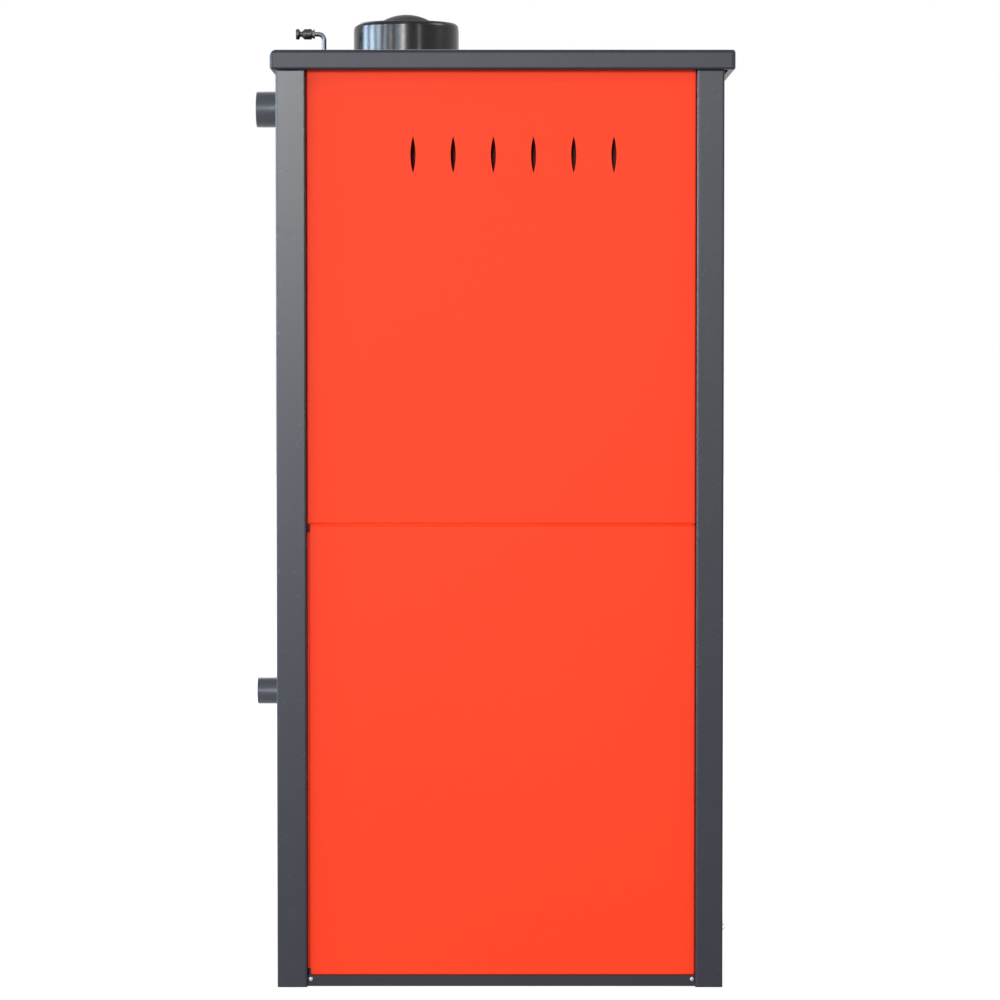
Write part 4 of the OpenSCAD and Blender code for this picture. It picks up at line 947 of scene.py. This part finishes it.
def loop_point(along, half_x, half_z, corner):
    """Point and outward direction on a rounded rectangle, at a distance along it."""
    straights = (2 * (half_x - corner), 2 * (half_z - corner))
    bend = corner * math.pi / 2
    centres = ((1, -1), (1, 1), (-1, 1), (-1, -1))
    for side in range(4):
        straight = straights[side % 2]
        heading = side * math.pi / 2
        forward = Vector((math.cos(heading), math.sin(heading)))
        outward = Vector((forward.y, -forward.x))
        sx, sz = centres[side]
        middle = Vector((sx * (half_x - corner), sz * (half_z - corner)))
        if along <= straight:
            return middle - forward * (straight - along) + outward * corner, outward
        along -= straight
        if along <= bend:
            turn = along / corner
            outward = outward * math.cos(turn) + forward * math.sin(turn)
            return middle + outward * corner, outward
        along -= bend
    return loop_point(0, half_x, half_z, corner)


def rope_seal(door):
    """Three strands laid up into a rope, glued in its groove round the door."""
    name = door + "_door_seal"
    low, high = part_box(name)
    middle = (low + high) / 2
    radius = (high.y - low.y) / 2
    half_x, half_z = (high.x - low.x) / 2 - radius, (high.z - low.z) / 2 - radius
    length = 4 * (half_x + half_z) - (8 - 2 * math.pi) * ROPE_CORNER
    turns = round(length / ROPE_LAY)
    count = turns * ROPE_POINTS
    strand_r = radius * STRAND_SHARE
    offset = radius - strand_r
    strands = []
    for strand in range(ROPE_STRANDS):
        curve = bpy.data.curves.new("strand", "CURVE")
        curve.dimensions = "3D"
        curve.bevel_depth = strand_r
        curve.bevel_resolution = 1
        line = curve.splines.new("POLY")
        line.points.add(count - 1)
        line.use_cyclic_u = True
        for index in range(count):
            share = index / count
            spot, outward = loop_point(share * length, half_x, half_z, ROPE_CORNER)
            angle = 2 * math.pi * (share * turns + strand / ROPE_STRANDS)
            spot = spot + outward * offset * math.cos(angle)
            line.points[index].co = (middle.x + spot.x, middle.y + offset * math.sin(angle),
                                     middle.z + spot.y, 1)
        strands.append(bpy.data.objects.new("strand", curve))
        bpy.context.scene.collection.objects.link(strands[-1])
    only(*strands)
    bpy.ops.object.convert(target="MESH")
    rope = joined(door + "_rope_seal", strands)
    fitted(rope, ROPE, door + "_door", replaces=[name], smooth=70)


WOOL_SAME_POINT = 0.00001
WOOL_GRAIN = 8.5 * MM           # size of the cells that the blanket is drawn anew from
WOOL_CLUMPS = 0.035
WOOL_SINK = 3.5 * MM            # how deep the hollows between the clumps are


def wool_blanket():
    """The mineral wool behind the casing: soft, uneven slabs in place of the plain ones."""
    only(nodes["insulation"])
    bpy.ops.object.duplicate(linked=False)
    wool = bpy.context.object
    wool.name = wool.data.name = "wool_blanket"
    wool.parent = None
    bpy.ops.object.mode_set(mode="EDIT")
    bpy.ops.mesh.select_all(action="SELECT")
    bpy.ops.mesh.remove_doubles(threshold=WOOL_SAME_POINT)
    bpy.ops.object.mode_set(mode="OBJECT")
    worked(wool, "REMESH", mode="VOXEL", voxel_size=WOOL_GRAIN)
    clumps = bpy.data.textures.new("wool_clumps", "CLOUDS")
    clumps.noise_scale = WOOL_CLUMPS
    worked(wool, "DISPLACE", texture=clumps, texture_coords="LOCAL", mid_level=1.0, strength=WOOL_SINK)
    fitted(wool, WOOL, "stove", replaces=["insulation"], smooth=180)


def build_pieces():
    panel_laps("left", -1)
    panel_laps("right", 1)
    plinth_screws()
    rear_panel_screws()
    sockets()
    bleed_valve()
    gauges()
    pull_knobs()
    for door in ("fire", "oven"):
        lever(door)
        glass_border(door)
        clip_screws(door)
        rope_seal(door)
    wool_blanket()


# Studio

FLOOR_SIZE = 40
FLOOR_GREY = 0.5
FLOOR_GLOW = 0.78
WORLD_LEVEL = 0.16
WORLD_TINT = (0.93, 0.96, 1.0, 1)
WHITE = (1, 1, 1, 1)


def floor_material():
    """Matt white paper. The camera and reflections see it at full white, and it keeps the shadow."""
    finish = Finish("paper_floor", {"Base Color": (FLOOR_GREY, FLOOR_GREY, FLOOR_GREY, 1),
                                    "Roughness": 0.9, "Specular IOR Level": 0.1})
    tree = finish.tree
    path = tree.nodes.new("ShaderNodeLightPath")
    seen = Value(finish, path.outputs["Is Camera Ray"]) + Value(finish, path.outputs["Is Glossy Ray"])
    seen = seen + Value(finish, path.outputs["Is Transmission Ray"])
    glow = seen * FLOOR_GLOW
    finish.shader.inputs["Emission Color"].default_value = WHITE
    tree.links.new(glow.socket, finish.shader.inputs["Emission Strength"])
    return finish.material


def lay_floor():
    material = floor_material()
    bpy.ops.object.select_all(action="DESELECT")
    bpy.ops.mesh.primitive_plane_add(size=FLOOR_SIZE, location=(0, 0, 0))
    plane = bpy.context.active_object
    plane.name = "floor"
    plane.data.materials.append(material)


def light_world():
    """A dim blue-grey sky for the shading. The camera, reflections and glass see it white."""
    world = bpy.data.worlds.new("studio")
    bpy.context.scene.world = world
    world.use_nodes = True
    tree = world.node_tree
    tree.nodes.clear()
    path = tree.nodes.new("ShaderNodeLightPath")
    lit = tree.nodes.new("ShaderNodeBackground")
    lit.inputs["Color"].default_value = WORLD_TINT
    lit.inputs["Strength"].default_value = WORLD_LEVEL
    white = tree.nodes.new("ShaderNodeBackground")
    white.inputs["Color"].default_value = WHITE
    white.inputs["Strength"].default_value = 1.0
    seen = None
    for ray in ("Is Camera Ray", "Is Glossy Ray", "Is Transmission Ray"):
        if seen is None:
            seen = path.outputs[ray]
            continue
        most = tree.nodes.new("ShaderNodeMath")
        most.operation = "MAXIMUM"
        tree.links.new(seen, most.inputs[0])
        tree.links.new(path.outputs[ray], most.inputs[1])
        seen = most.outputs[0]
    blend = tree.nodes.new("ShaderNodeMixShader")
    out = tree.nodes.new("ShaderNodeOutputWorld")
    tree.links.new(seen, blend.inputs[0])
    tree.links.new(lit.outputs[0], blend.inputs[1])
    tree.links.new(white.outputs[0], blend.inputs[2])
    tree.links.new(blend.outputs[0], out.inputs[0])


def add_sun(name, strength, spread, azimuth, elevation, colour):
    """A distant soft light. Azimuth 0 is behind the camera, 90 at the stove's rear, -90 at its doors."""
    data = bpy.data.lights.new(name, "SUN")
    data.energy = strength
    data.angle = math.radians(spread)
    data.color = colour
    lamp = bpy.data.objects.new(name, data)
    bpy.context.scene.collection.objects.link(lamp)
    across, up = math.radians(azimuth), math.radians(elevation)
    source = Vector((-math.cos(up) * math.cos(across), math.cos(up) * math.sin(across), math.sin(up)))
    lamp.rotation_euler = source.to_track_quat("Z", "Y").to_euler()


def build_studio():
    scene = bpy.context.scene
    scene.view_settings.view_transform = "Standard"
    light_world()
    lay_floor()
    add_sun("key", strength=1.1, spread=6, azimuth=6, elevation=8, colour=(1.0, 0.98, 0.95))
    add_sun("low_key", strength=0.5, spread=6, azimuth=13, elevation=0.5, colour=(0.62, 0.79, 1.0))
    add_sun("overhead", strength=0.26, spread=16, azimuth=4, elevation=42, colour=(0.90, 0.95, 1.0))
    add_sun("sky_20", strength=0.10, spread=5, azimuth=20, elevation=4, colour=(0.98, 0.99, 1.0))
    add_sun("sky_30", strength=0.22, spread=6, azimuth=33, elevation=4, colour=(0.90, 0.95, 1.0))
    add_sun("sky_45", strength=0.36, spread=7, azimuth=46, elevation=4, colour=(0.75, 0.88, 1.0))
    add_sun("sky_60", strength=0.95, spread=10, azimuth=62, elevation=4, colour=(0.66, 0.83, 1.0))
    add_sun("sky_80", strength=1.8, spread=12, azimuth=79, elevation=4, colour=(0.60, 0.79, 1.0))
    add_sun("sky_100", strength=1.3, spread=12, azimuth=99, elevation=4, colour=(0.58, 0.77, 1.0))
    add_sun("low_door_side", strength=0.12, spread=5, azimuth=-30, elevation=4, colour=(0.95, 1.0, 1.0))
    add_sun("door_side", strength=1.5, spread=30, azimuth=-80, elevation=24, colour=(1.0, 1.0, 1.0))
    add_sun("far_side", strength=1.3, spread=40, azimuth=165, elevation=26, colour=(1.0, 1.0, 1.0))


place_camera()
paint_nodes()
build_pieces()
build_studio()
